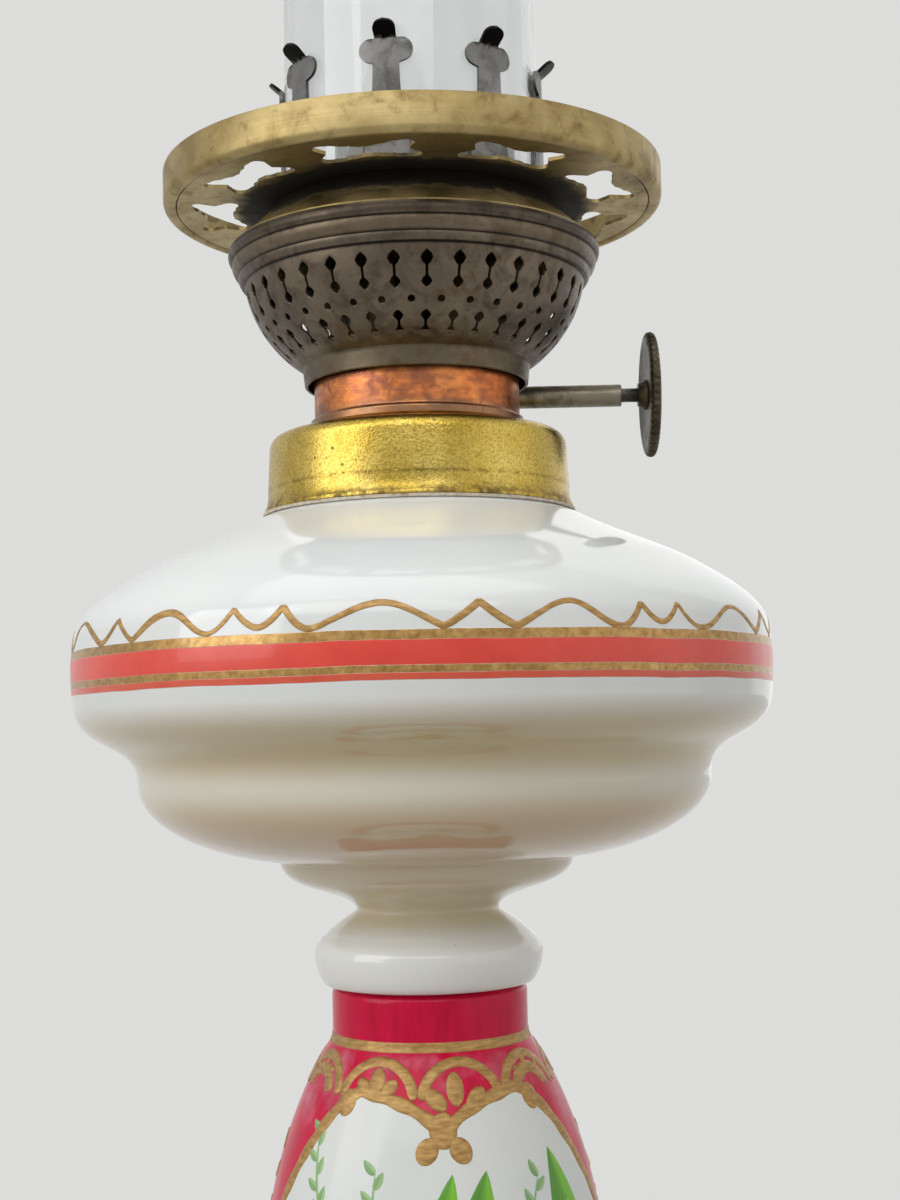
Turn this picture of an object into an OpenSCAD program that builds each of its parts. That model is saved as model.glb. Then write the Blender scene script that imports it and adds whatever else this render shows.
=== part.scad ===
// Table oil lamp with a tubular wick: painted opaline foot and font, brass side-draught burner, glass chimney.
// Millimetres, +Z up, origin on the lamp's axis where it stands on the table. The thumb wheel is on +X.

/* [Foot] */
// Height of the glass foot, from the table to the lip of its neck
foot_h = 154; // [146:1:175]
// Diameter of the spreading base
foot_base_d = 112; // [100:1:130]
// Widest diameter of the vase-shaped body
foot_body_d = 67; // [62:0.5:74]
// Height of the widest point of the body above the table
foot_body_z = 104; // [98:1:110]
// Diameter of the waist above the base
foot_waist_d = 34; // [31:0.5:38]
// Height of the waist above the table
foot_waist_z = 48; // [44:1:54]
// Radius of the bead that rings the waist
foot_bead_r = 3; // [2:0.25:4]
// Diameter of the neck
foot_neck_d = 39.5; // [37:0.5:43]
// Height of the straight neck
foot_neck_h = 9.5; // [7:0.5:12]
// Wall of the blown glass
foot_wall = 4.5; // [3.5:0.25:5.5]
// Width of the flat ring that stands on the table
foot_rest_w = 8; // [5:0.5:12]

/* [Font] */
// Height of the font, from the lip of the foot to the ledge under the collar
font_h = 96.8; // [92:0.2:110]
// Widest diameter of the oil bowl
font_d = 142; // [134:1:156]
// Diameter of the lower cup of the bowl
font_cup_d = 116; // [108:1:122]
// Diameter of the waist between the knop and the bowl
font_waist_d = 29; // [27:0.5:33]
// Widest diameter of the knop
knop_d = 46.4; // [43:0.2:50]
// Height of the knop up to the waist
knop_h = 17; // [16:0.5:19]
// Wall of the glass bowl
font_wall = 4; // [3:0.25:5]
// Diameter of the peg that is cemented into the foot
peg_d = 24; // [20:0.5:26]
// Length of the peg
peg_l = 16; // [10:1:22]
// Outside diameter of the glass neck inside the collar
neck_d = 54; // [52:0.5:56]
// Bore of the glass neck
neck_bore_d = 45; // [44.5:0.25:48]
// Height of the glass neck above the ledge
neck_h = 11.5; // [9:0.5:12.5]

/* [Collar] */
// Diameter of the collar at mid height
collar_d = 62.2; // [60.5:0.1:66]
// Height of the collar's wall
collar_h = 16.7; // [15:0.1:20]
// Thickness of the collar's sheet
collar_wall = 0.8; // [0.6:0.1:1.1]
// Height of the raised lip round the screw hole
collar_lip = 1.1; // [0.6:0.1:2]
// Bore of the collar's screw tube
screw_bore_d = 42; // [41:0.1:42.4]
// Length of the screw tube
screw_l = 9.5; // [7:0.5:12]
// Height of the plaster line under the collar
plaster_line = 0.6; // [0.4:0.1:1]

/* [Burner] */
// Height of the burner cup from its flange to its top edge
cup_h = 14.8; // [14.5:0.1:17]
// Diameter of the cup
cup_d = 42.5; // [42:0.1:45]
// Diameter of the cup's flange
flange_d = 44.4; // [44:0.1:48]
// Thickness of the burner's sheet brass
sheet = 0.6; // [0.5:0.05:0.7]
// Mean diameter of the tubular wick
wick_d = 24.5; // [23.5:0.1:25]
// Thickness of the wick
wick_t = 2.5; // [2.2:0.1:2.8]
// Room between the wick and each wick tube
wick_gap = 0.2; // [0.15:0.05:0.3]
// Height of the outer wick tube above the seat of the chimney
tube_rise = 11; // [8:0.5:15]
// Width of the air chute
chute_w = 9; // [7:0.5:9.5]
// Height of the air chute
chute_h = 16; // [12:1:18]
// Length of wick that shows above the outer tube at rest
wick_show = 1.5; // [0.5:0.25:3]
// Height of the end of the wick above the floor of the oil bowl
wick_clear = 11; // [9.5:0.5:25]

/* [Wick drive] */
// Height of the spindle above the flange of the cup
spindle_rise = 9.65; // [9.3:0.05:10]
// Diameter of the spindle
spindle_d = 3; // [2.5:0.1:3.4]
// Outside diameter of the spindle sleeve
sleeve_d = 4.8; // [4.4:0.1:5]
// Reach of the sleeve from the lamp's axis
sleeve_reach = 44; // [40:0.5:46]
// Distance of the thumb wheel's middle from the lamp's axis
wheel_x = 50.3; // [49.5:0.1:58]
// Diameter of the thumb wheel
wheel_d = 27; // [22:0.5:30]
// Thickness of the thumb wheel's rim
wheel_t = 2.4; // [1.8:0.1:3]
// Number of ribs on the thumb wheel's rim
wheel_ribs = 56; // [36:4:72]
// Diameter over the points of the sprockets
sprocket_d = 6.4; // [6:0.1:6.6]
// Number of points on each sprocket
sprocket_teeth = 9; // [7:1:12]
// Distance of each sprocket from the middle of the pair
sprocket_x = 4; // [3.5:0.1:4.4]

/* [Basket] */
// How far the moulded rim of the basket stands out beyond its pierced wall
moulding_out = 3.4; // [2.4:0.1:6.4]
// Diameter at the top of the pierced wall
basket_wall_d = 70.6; // [69:0.2:73]
// Diameter of the plain band at the foot
band_d = 47.2; // [46.4:0.2:50]
// Height of the plain band
band_h = 3.7; // [3:0.1:4.5]
// Height of the pierced wall
pierced_h = 17.3; // [16.5:0.1:19]
// Height of the moulded rim
moulding_h = 7.3; // [6.5:0.1:9]
// Number of pierced columns
columns = 34; // [24:1:36]

/* [Gallery] */
// Height of the crown cone between the basket and the gallery
crown_h = 8.8; // [7.5:0.1:11]
// Diameter of the shade rim
rim_d = 103.6; // [100:0.2:116]
// Height of the shade rim
rim_h = 7.4; // [5.5:0.1:10]
// Thickness of the gallery's sheet
gallery_t = 0.7; // [0.6:0.05:0.9]
// Number of chimney prongs
prongs = 8; // [6:1:10]
// Height of the prongs up to the bend
prong_h = 27; // [22:0.5:34]
// Angle of the first prong from the front
prong_turn = -9; // [-20:1:20]
// Number of lobed holes in the plate
holes = 9; // [6:1:9]
// Angle of the first hole from the front
hole_turn = -11; // [-20:1:20]
// Outward lean of the bent tips
prong_lean = 50; // [35:1:60]

/* [Chimney] */
// Outside diameter at the foot of the chimney
chimney_d = 53; // [51.5:0.1:54]
// Wall of the chimney glass
chimney_wall = 1.6; // [1.2:0.1:2.2]
// Height of the chimney
chimney_h = 250; // [200:5:280]
// Height of the wide cylinder at its foot
chimney_base_h = 58; // [48:1:70]
// Outside diameter of the tube above the shoulder
chimney_tube_d = 37; // [34:0.5:42]

/* [Hidden] */
$fn = 96;

// Fits
seat_gap = 0.05;
run_gap = 0.05;
screw_gap = 0.3;
lift_gap = 0.1;
glass_gap = 0.4;
cut = 1;
curve_steps = 8;

// Heights of the seats, from the table up
flange_rise = 2.3;
seat_z = foot_h;
ledge_z = seat_z + font_h;
collar_z = ledge_z + plaster_line;
collar_top_z = ledge_z + collar_h;
lip_z = collar_top_z + collar_lip;
flange_z = lip_z + lift_gap;
cup_floor_z = flange_z + flange_rise;
cup_top_z = flange_z + cup_h;
spindle_z = flange_z + spindle_rise;
band_drop = 1.8;
band_top_z = cup_top_z - band_drop;
pierced_top_z = band_top_z + pierced_h;
basket_top_z = pierced_top_z + moulding_h;
plate_z = basket_top_z + crown_h;
chimney_z = plate_z + lift_gap;
tube_top_z = plate_z + tube_rise;

// Radii of the fits
screw_r = screw_bore_d / 2;
skirt_r = screw_r - screw_gap;
wick_outer_r = wick_d / 2 + wick_t / 2;
wick_inner_r = wick_d / 2 - wick_t / 2;
outer_tube_in = wick_outer_r + wick_gap;
outer_tube_out = outer_tube_in + sheet;
inner_tube_out = wick_inner_r - wick_gap;
inner_tube_in = inner_tube_out - sheet;
cup_in = cup_d / 2 - sheet;
prong_r = chimney_d / 2 + glass_gap;

// Wick drive: the sprockets reach through the outer tube and just touch the wick
sprocket_t = 1;
tooth_gap = 0.15;
spindle_y = sqrt(pow(wick_outer_r, 2) - pow(sprocket_x - sprocket_t / 2, 2)) + tooth_gap + sprocket_d / 2;
bracket_t = 0.8;
bracket_gap = 1;
bracket_x = -sprocket_x - sprocket_t / 2 - bracket_gap - bracket_t;
hub_d = 6.5;
hub_in = 1.4;
spindle_end = 0.5;

// Wick travel and air chute
wick_up = 4;
wick_down = 8;
chute_rise = 2.5;
chute_proud = 0.85;
cap_rise = 2;
tube_drop = 6;
chute_z = cup_top_z + chute_rise;
chute_top_z = chute_z + chute_h;
chute_out = outer_tube_out + chute_proud;
chute_in = inner_tube_in - chute_proud;
air_tube_z = cup_floor_z + cap_rise;
tube_low_z = flange_z - tube_drop;

// Pierced shapes of the basket: height and width of the upper keyholes, the lower ones, and the round holes
key_upper = [7.4, 2.5];
key_lower = [5.6, 2];
key_slot_w = 0.55;
pin_hole_d = 1.5;
first_column = 5;

// Points on a cubic curve, without its first point
function curve(a, b, c, d, steps = curve_steps) = [
  for (i = [1:steps]) let (t = i / steps, u = 1 - t)
    u * u * u * a + 3 * u * u * t * b + 3 * u * t * t * c + t * t * t * d
];

// A point given by its shares of the way across and up from p to q
function way(p, q, share) = p + [share.x * (q.x - p.x), share.y * (q.y - p.y)];

// Cubic curve from p to q, bent by two points given as such shares, without its first point
function sweep(p, q, first, second, steps = curve_steps) =
  curve(p, way(p, q, first), way(p, q, second), q, steps);

// Points on an arc, without its first point
function arc(centre, r, from, to) = [
  for (i = [1:curve_steps]) let (a = from + (to - from) * i / curve_steps)
    centre + r * [cos(a), sin(a)]
];

// A path that runs upwards, moved towards the axis by d along its normals
function inset(path, d) = [
  for (i = [0:len(path) - 1])
    let (
      way = path[min(i + 1, len(path) - 1)] - path[max(i - 1, 0)],
      side = [-way.y, way.x] / norm(way)
    ) path[i] + d * side
];

function reversed(path) = [for (i = [len(path) - 1:-1:0]) path[i]];

// Index of the stretch of a rising path that holds height z
function stretch_at(path, z) = max([for (k = [0:len(path) - 2]) path[k].y <= z ? k : 0]);

// Radius and slope of a rising path at height z
function spot_at(path, z) = let (i = stretch_at(path, z), way = path[i + 1] - path[i])
  [path[i].x + way.x * (z - path[i].y) / way.y, atan2(way.x, way.y)];

function blend(t) = let (s = min(1, max(0, t))) s * s * (3 - 2 * s);

module revolve(path) {
  rotate_extrude() polygon(path);
}

module ring(inner, outer, z, h) {
  translate([0, 0, z]) difference() {
    cylinder(r = outer, h = h);
    translate([0, 0, -cut]) cylinder(r = inner, h = h + 2 * cut);
  }
}

module along_spindle(x) {
  translate([x, spindle_y, spindle_z]) rotate([0, 90, 0]) children();
}

// Foot: spreading base, beaded waist, vase body and straight neck, blown hollow
foot_base_r = foot_base_d / 2;
foot_waist_r = foot_waist_d / 2;
foot_body_r = foot_body_d / 2;
foot_neck_r = foot_neck_d / 2;
foot_neck_z = foot_h - foot_neck_h;
foot_bore_r = foot_neck_r - foot_wall;
foot_hollow_r = foot_waist_r - foot_wall;
bead_low_z = foot_waist_z - foot_bead_r;
bead_top_z = foot_waist_z + foot_bead_r;
base_edge_h = 10;
base_round = 3;
neck_step = 0.5;
neck_root = 2;
lip_round = 2;
bed_drop = 0.5;
bed_z = seat_z - peg_l + 2 * bed_drop;

function foot_outside() = let (
  low = [foot_base_r, 0.35 * base_edge_h],
  high = [foot_base_r, 0.65 * base_edge_h],
  edge = [foot_base_r - base_round, base_edge_h],
  body = [foot_body_r, foot_body_z],
  neck = [foot_neck_r + neck_step, foot_neck_z - neck_step]
) concat(
  [[edge.x, 0]],
  sweep([edge.x, 0], low, [0.67, 0], [1, 0.34]),
  [high],
  sweep(high, edge, [0, 0.57], [0.33, 0.86]),
  sweep(edge, [foot_waist_r, bead_low_z], [0.47, 0.11], [0.985, 0.43]),
  arc([foot_waist_r, foot_waist_z], foot_bead_r, -90, 90),
  sweep([foot_waist_r, bead_top_z], body, [0.18, 0.285], [1, 0.585]),
  sweep(body, neck, [0, 0.35], [0.51, 0.81]),
  [[foot_neck_r, foot_neck_z], [foot_neck_r, foot_h - lip_round]],
  arc([foot_neck_r - lip_round, foot_h - lip_round], lip_round, 0, 90)
);

function foot_inside() = let (
  rest = [foot_base_r - foot_rest_w, 0],
  body = [foot_body_r - foot_wall, foot_body_z]
) concat(
  [rest],
  sweep(rest, [foot_hollow_r, bead_low_z], [0.28, 0.09], [0.97, 0.42]),
  [[foot_hollow_r, bead_top_z]],
  sweep([foot_hollow_r, bead_top_z], body, [0.12, 0.3], [1, 0.585]),
  sweep(body, [foot_bore_r, foot_neck_z - neck_root], [0, 0.34], [0.49, 0.765]),
  [[foot_bore_r, foot_h]]
);

module foot() {
  color("crimson") revolve(concat(foot_outside(), reversed(foot_inside())));
}

module foot_plaster() {
  color("linen") ring(peg_d / 2 + seat_gap, foot_bore_r - seat_gap, bed_z, seat_z - bed_drop - bed_z);
}

// Font: peg, knop, waist, stepped bowl and neck, from the seat on the foot upwards
font_r = font_d / 2;
cup_bowl_r = font_cup_d / 2;
font_waist_r = font_waist_d / 2;
knop_r = knop_d / 2;
font_waist_z = seat_z + knop_h;
neck_r = neck_d / 2;
neck_bore_r = neck_bore_d / 2;
step_w = 15.3;
step_h = 10.1;
step_edge = 0.5;
cup_rise = 17;
cup_drop = 1.1;
belly_rise = 14.5;
belly_h = 7;
belly_in = 0.5;
shoulder_h = 6.5;
shoulder_in = 0.6;
floor_sink = 0.6;
neck_root_h = 2;
collar_flare = 0.7;
step_r = font_waist_r + step_w;
bowl_z = font_waist_z + step_h;
cup_rim_z = bowl_z + cup_rise;
belly_low_z = cup_rim_z + belly_rise;
belly_z = belly_low_z + belly_h;
shoulder_z = belly_z + shoulder_h;
ledge_r = collar_d / 2 + collar_flare;

function knop_outside() = let (
  seat = [0.85 * knop_r, seat_z],
  widest = [knop_r, seat_z + 0.46 * knop_h],
  brow = [0.87 * knop_r, seat_z + 0.74 * knop_h],
  waist = [font_waist_r, font_waist_z],
  flare = way(waist, [step_r, bowl_z], [0.52, 0.415])
) concat(
  [seat],
  sweep(seat, widest, [0.43, 0.03], [0.94, 0.58]),
  sweep(widest, brow, [0, 0.58], [0.63, 0.71]),
  sweep(brow, waist, [0.74, 0.77], [1, 0.84]),
  sweep(waist, flare, [0.05, 0.48], [0.56, 0.71]),
  sweep(flare, [step_r, bowl_z - step_edge], [0.48, 0.2], [0.93, 0.44])
);

function bowl_outside() = let (
  step = [step_r + step_edge, bowl_z],
  cup = [cup_bowl_r, cup_rim_z - cup_drop],
  cove = way([cup_bowl_r, cup_rim_z], [font_r, belly_low_z], [0.523, 0.49]),
  low = [font_r - belly_in, belly_low_z],
  belly = [font_r, belly_z],
  shoulder = [font_r - shoulder_in, shoulder_z],
  ledge = [ledge_r, ledge_z],
  brow = way(shoulder, ledge, [0.347, 0.522])
) concat(
  [step],
  sweep(step, cup, [0.495, 0.07], [1, 0.47]),
  sweep(cup, cove, [0, 0.68], [0.59, 0.79]),
  sweep(cove, low, [0.67, 0.285], [0.98, 0.595]),
  sweep(low, belly, [0.8, 0.43], [1, 0.71]),
  sweep(belly, shoulder, [0, 0.385], [0.5, 0.645]),
  sweep(shoulder, brow, [0.06, 0.4], [0.48, 0.675]),
  sweep(brow, ledge, [0.26, 0.32], [0.64, 0.56])
);

function bowl_inside() = inset(bowl_outside(), font_wall);
floor_z = bowl_inside()[0].y - floor_sink;
neck_z = bowl_inside()[len(bowl_inside()) - 1].y + neck_root_h;

module font() {
  color("ivory") revolve(concat(
    [[0, seat_z - peg_l], [peg_d / 2, seat_z - peg_l], [peg_d / 2, seat_z]],
    knop_outside(),
    bowl_outside(),
    [[neck_r, ledge_z], [neck_r, ledge_z + neck_h]],
    [[neck_bore_r, ledge_z + neck_h], [neck_bore_r, neck_z]],
    reversed(bowl_inside()),
    [[0, floor_z]]
  ));
}

// Collar: spun sheet with a flared foot, a rounded shoulder and a screw tube
collar_r = collar_d / 2;
collar_in = collar_r - collar_wall;
screw_wall = 0.7;
lip_w = 2 * screw_wall;
shoulder_w = 3.3;
collar_edge = 0.8;
flare_h = 5;
collar_draw = 0.4;
collar_round = 3;
plaster_drop = 4.5;
screw_out = screw_r + screw_wall;
shoulder_r = collar_r - shoulder_w;

module collar() {
  edge = [ledge_r, collar_z + collar_edge];
  wall = [collar_r, collar_z + flare_h];
  brow = [collar_r - collar_draw, collar_top_z - collar_round];
  shoulder = [shoulder_r, collar_top_z];
  inner_wall = [collar_in, wall.y];
  inner_top = [shoulder_r - collar_draw, collar_top_z - collar_wall];
  color("gold") revolve(concat(
    [[ledge_r, collar_z], edge],
    sweep(edge, wall, [0.86, 0.19], [1, 0.52]),
    [brow],
    sweep(brow, shoulder, [0.03, 0.6], [0.38, 0.9]),
    [[screw_r + lip_w, lip_z], [screw_r, lip_z], [screw_r, lip_z - screw_l], [screw_out, lip_z - screw_l]],
    [[screw_out, inner_top.y], inner_top],
    [way(inner_wall, inner_top, [0.41, 0.86]), way(inner_wall, inner_top, [0.17, 0.69])],
    [inner_wall, [collar_in, edge.y], [collar_r, collar_z]]
  ));
}

module collar_plaster() {
  outer_r = ledge_r + collar_draw;
  inner_r = collar_in - collar_wall;
  top_z = collar_top_z - plaster_drop;
  color("linen") revolve([
    [neck_r + seat_gap, ledge_z], [outer_r, ledge_z], [outer_r, collar_z],
    [inner_r, collar_z], [inner_r, top_z], [neck_r + seat_gap, top_z]
  ]);
}

// Burner cup: screwed skirt, rolled flange, floor and drum, with a hole for the sleeve
flange_r = flange_d / 2;
skirt_l = screw_l - screw_gap;
flange_t = 2;
flange_round = 0.6;

module burner_cup() {
  color("chocolate") difference() {
    revolve(concat(
      [[skirt_r - sheet, flange_z - skirt_l], [skirt_r, flange_z - skirt_l], [skirt_r, flange_z]],
      [[flange_r, flange_z], [flange_r, flange_z + flange_t - flange_round]],
      arc([flange_r - flange_round, flange_z + flange_t - flange_round], flange_round, 0, 90),
      [[cup_d / 2, cup_floor_z], [cup_d / 2, cup_top_z], [cup_in, cup_top_z], [cup_in, cup_floor_z]],
      [[outer_tube_out + lift_gap, cup_floor_z], [outer_tube_out + lift_gap, cup_floor_z - sheet]],
      [[skirt_r - sheet, cup_floor_z - sheet]]
    ));
    along_spindle(0) cylinder(d = sleeve_d + 2 * seat_gap, h = cup_d);
  }
}

module deck_plate() {
  color("peru") ring(outer_tube_out + seat_gap, cup_in - seat_gap, cup_top_z - sheet - lift_gap, sheet);
}

// Wick tubes: the outer one has two sprocket slots, and both have a window for the air chute
module chute_window(size, depth) {
  translate([-size.x / 2, -depth, chute_z + (chute_h - size.y) / 2]) cube([size.x, depth, size.y]);
}

module outer_wick_tube() {
  slot_room = 0.8;
  slot_deep = 3;
  slot = [sprocket_t + slot_room, outer_tube_out, sprocket_d + 1.5 * slot_room];
  color("darkgoldenrod") difference() {
    ring(outer_tube_in, outer_tube_out, tube_low_z, tube_top_z - tube_low_z);
    chute_window([chute_w + 2 * seat_gap, chute_h + 2 * seat_gap], outer_tube_out + cut);
    for (side = [-1, 1])
      translate([side * sprocket_x - slot.x / 2, outer_tube_in - slot_deep, spindle_z - slot.z / 2]) cube(slot);
  }
}

module inner_air_tube() {
  rise = 1;
  color("darkgoldenrod") difference() {
    ring(inner_tube_in, inner_tube_out, air_tube_z, tube_top_z + rise - air_tube_z);
    chute_window([chute_w + 2 * seat_gap, chute_h + 2 * seat_gap], inner_tube_out + cut);
  }
}

module air_tube_cap() {
  color("darkgoldenrod") translate([0, 0, air_tube_z]) cylinder(r = inner_tube_in - seat_gap, h = sheet);
}

module air_chute() {
  bore = [chute_w - 2 * sheet, chute_h - 2 * sheet];
  color("darkgoldenrod") difference() {
    intersection() {
      chute_window([chute_w, chute_h], chute_out);
      ring(chute_in, chute_out, chute_z, chute_h);
    }
    chute_window(bore, chute_out + cut);
  }
}

// Basket: spun bowl with a plain band, a floor that sits on the cup, a moulded rim and pierced columns
wall_r = basket_wall_d / 2;
basket_r = wall_r + moulding_out;
band_r = band_d / 2;
band_z = band_top_z - band_h;
band_draw = 0.4;
band_flare = 0.3;
band_step = 0.2;
rim_seat_w = 2.2;
rim_seat_h = 2.4;
floor_gap = 2.5;
pierce_depth = 3;
sleeve_room = 1;
rim_seat_r = basket_r - rim_seat_w;
floor_hole_r = outer_tube_out + floor_gap;

function pierced_wall() = sweep([band_r + band_flare, band_top_z + band_step], [wall_r, pierced_top_z],
  [0.315, 0.123], [0.87, 0.462], 2 * curve_steps);

// A point of the moulded rim, by its shares of the way out and up from the wall's top
function on_rim(out, up) = way([wall_r, pierced_top_z], [basket_r, basket_top_z], [out, up]);

function basket_outside() = concat(
  [[band_r - band_draw, band_z], [band_r, band_top_z - band_draw]],
  [[band_r + band_flare, band_top_z + band_step]],
  pierced_wall(),
  [on_rim(0.265, 0.055)],
  curve(on_rim(0.265, 0.055), on_rim(0.38, 0.22), on_rim(0.44, 0.275), on_rim(0.62, 0.493)),
  [on_rim(0.735, 0.548)],
  curve(on_rim(0.735, 0.548), on_rim(1.074, 0.644), on_rim(1.044, 0.89), on_rim(0.853, 1))
);

// Keyhole: two diamonds joined by a slot, the lower one a little smaller
module keyhole(size) {
  point = size.y * 0.6;
  low = size.y * 0.9;
  half = size.x / 2;
  slot = key_slot_w / 2;
  right = [
    [size.y / 2, half - point], [slot, half - 2 * point],
    [slot, low * 1.1 - half], [low / 2, low * 0.55 - half]
  ];
  polygon(concat([[0, half]], right, [[0, -half]], [for (p = reversed(right)) [-p.x, p.y]]));
}

// Stands a flat shape on the pierced wall, square to its slope, and cuts inwards
module on_wall(share, turn) {
  z = band_top_z + share * pierced_h;
  spot = spot_at(pierced_wall(), z);
  rotate([0, 0, turn]) translate([0, -spot[0], z]) rotate([90 + spot[1], 0, 0])
    translate([0, 0, -pierce_depth]) linear_extrude(2 * pierce_depth) children();
}

module basket() {
  pitch = 360 / columns;
  inner = inset(pierced_wall(), sheet);
  floor_top_z = cup_top_z + sheet;
  above = [for (p = inner) if (p.y > floor_top_z + sheet) p];
  below = [for (p = inner) if (p.y < cup_top_z - sheet) p];
  color("dimgray") difference() {
    revolve(concat(basket_outside(), [[rim_seat_r, basket_top_z], [0, basket_top_z], [0, band_z]]));
    revolve(concat([[0, floor_top_z], [spot_at(inner, floor_top_z)[0], floor_top_z]], above,
      [[rim_seat_r, basket_top_z - rim_seat_h], [rim_seat_r, basket_top_z + cut], [0, basket_top_z + cut]]));
    revolve(concat(
      [[0, band_z - cut], [band_r - sheet - band_draw, band_z - cut], [band_r - sheet, band_top_z]], below,
      [[spot_at(inner, cup_top_z)[0], cup_top_z], [0, cup_top_z]]
    ));
    cylinder(r = floor_hole_r, h = basket_top_z);
    along_spindle(0) cylinder(d = sleeve_d + sleeve_room, h = 2 * basket_r);
    for (i = [0:columns - 1]) {
      turn = first_column + i * pitch;
      on_wall(0.72, turn) keyhole(key_upper);
      on_wall(0.42, turn + pitch / 2) circle(d = pin_hole_d, $fn = 24);
      on_wall(0.2, turn) keyhole(key_lower);
    }
  }
}

// Crown: cone that stands on the basket's rim and carries the gallery and the chimney on its ledge
ledge_lap = 1.4;
ledge_proud = 1.6;
ledge_round = 0.4;
crown_lap = 1.2;
crown_lip = 1;
ledge_in = chimney_d / 2 - chimney_wall - ledge_lap;
ledge_out = prong_r + gallery_t + ledge_proud;

module crown() {
  foot_in = rim_seat_r - crown_lap;
  foot_out = rim_seat_r + crown_lap;
  foot_top_z = basket_top_z + sheet;
  color("darkkhaki") revolve([
    [foot_in, basket_top_z], [foot_out, basket_top_z],
    [foot_out, foot_top_z], [foot_out - crown_lip, foot_top_z],
    [ledge_out, plate_z - ledge_round], [ledge_out - ledge_round, plate_z],
    [ledge_in, plate_z], [ledge_in, plate_z - sheet], [ledge_out - 2 * ledge_round, plate_z - sheet],
    [foot_in, foot_top_z]
  ]);
}

// Gallery: rim that holds the shade, plate with four-lobed holes, and prongs that grip the chimney
rim_r = rim_d / 2;
rim_round = 1.6;
plate_top_z = plate_z + gallery_t;
prong_clear = 0.15;
plate_in = prong_r + prong_clear;
bead_w = 2.3;
bead_drop = 0.4;
rim_edge = 0.3;
rim_fillet = 0.5;
hole_out = 1.2;
hole_ring_r = (rim_r + prong_r) / 2 + hole_out;
tip_w = 4.2;
tip_l = 2.2;

// One quarter of a four-lobed hole: place and radius of the rounds from its waist out to the tip
hole_rounds = [[0, 0, 3], [3.5, 0.9, 2.9], [6.4, 2.2, 2.6], [8.2, 3.3, 1.7]];

module lobed_hole() {
  for (round = hole_rounds) for (across = [-1, 1]) for (along = [-1, 1])
    translate([across * round.x, along * round.y]) circle(r = round.z, $fn = 32);
}

// Flat outline of a prong: flared foot, neck, and two round side lobes
module prong_outline() {
  foot_half = 5.5;
  neck_half = 2.6;
  lobe_r = 2.4;
  lobe_x = 2.9;
  lobe_z = prong_h - lobe_r;
  flank = concat([[foot_half, 0]], sweep([foot_half, 0], [neck_half, lobe_z], [0.65, 0.3], [1, 0.5]));
  polygon(concat(flank, [for (p = reversed(flank)) [-p.x, p.y]]));
  for (side = [-1, 1]) translate([side * lobe_x, lobe_z]) circle(r = lobe_r, $fn = 32);
  translate([-tip_w / 2, lobe_z]) square([tip_w, lobe_r]);
}

module prong() {
  bend = 0.2;
  root_z = plate_z + gallery_t / 2;
  intersection() {
    ring(prong_r, prong_r + gallery_t, root_z, plate_z + prong_h - root_z);
    translate([0, 0, plate_z]) rotate([90, 0, 0]) linear_extrude(prong_r + gallery_t + cut) prong_outline();
  }
  translate([0, -prong_r, plate_z + prong_h - bend]) rotate([90 + prong_lean, 0, 0]) linear_extrude(gallery_t) {
    translate([-tip_w / 2, -bend]) square([tip_w, tip_l + bend]);
    translate([0, tip_l]) circle(d = tip_w, $fn = 32);
  }
}

module gallery() {
  low_z = plate_z - bead_drop;
  top_z = plate_z + rim_h;
  rim_in = rim_r - gallery_t;
  color("goldenrod") {
    difference() {
      revolve(concat(
        [[plate_in, plate_z], [rim_r - bead_w - rim_edge, plate_z]],
        [[rim_r - bead_w, low_z], [rim_r - rim_round, low_z]],
        arc([rim_r - rim_round, low_z + rim_round], rim_round, -90, 0),
        [[rim_r, top_z - rim_edge], [rim_r - rim_edge, top_z], [rim_in, top_z]],
        [[rim_in, plate_top_z + rim_fillet], [rim_in - rim_fillet, plate_top_z], [plate_in, plate_top_z]]
      ));
      for (i = [0:holes - 1]) rotate([0, 0, hole_turn + i * 360 / holes])
        translate([0, -hole_ring_r, plate_z - cut]) linear_extrude(gallery_t + 2 * cut) lobed_hole();
    }
    for (i = [0:prongs - 1]) rotate([0, 0, prong_turn + i * 360 / prongs]) prong();
  }
}

// Wick drive
module spindle_sleeve() {
  sleeve_x = 7;
  color("darkolivegreen") along_spindle(sleeve_x) difference() {
    cylinder(d = sleeve_d, h = sleeve_reach - sleeve_x);
    translate([0, 0, -cut]) cylinder(d = spindle_d + 2 * run_gap, h = sleeve_reach - sleeve_x + 2 * cut);
  }
}

module spindle_bracket() {
  ear_w = 4.6;
  tab_l = 5;
  tab_side = 0.7;
  ear_y = spindle_y - ear_w / 2;
  color("peru") difference() {
    union() {
      along_spindle(bracket_x) cylinder(d = ear_w, h = bracket_t);
      translate([bracket_x, ear_y, cup_floor_z]) cube([bracket_t, ear_w, spindle_z - cup_floor_z]);
      translate([bracket_x, ear_y + tab_side, cup_floor_z]) cube([tab_l, ear_w - tab_side, sheet]);
    }
    along_spindle(bracket_x - cut) cylinder(d = spindle_d + 2 * run_gap, h = bracket_t + 2 * cut);
  }
}

module spindle() {
  tail_x = bracket_x - bracket_gap;
  end_x = wheel_x + wheel_t / 2 + spindle_end;
  color("darkslategray") along_spindle(tail_x) cylinder(d = spindle_d, h = end_x - tail_x);
}

module sprockets() {
  tooth_h = 0.9;
  root = sprocket_d / 2 - tooth_h;
  step = 180 / sprocket_teeth;
  color("darkgoldenrod") for (side = [-1, 1])
    along_spindle(side * sprocket_x - sprocket_t / 2) linear_extrude(sprocket_t) difference() {
      polygon([
        for (i = [0:2 * sprocket_teeth - 1]) let (r = i % 2 == 0 ? sprocket_d / 2 : root)
          r * [cos(i * step), sin(i * step)]
      ]);
      circle(d = spindle_d + 2 * seat_gap);
    }
}

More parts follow.
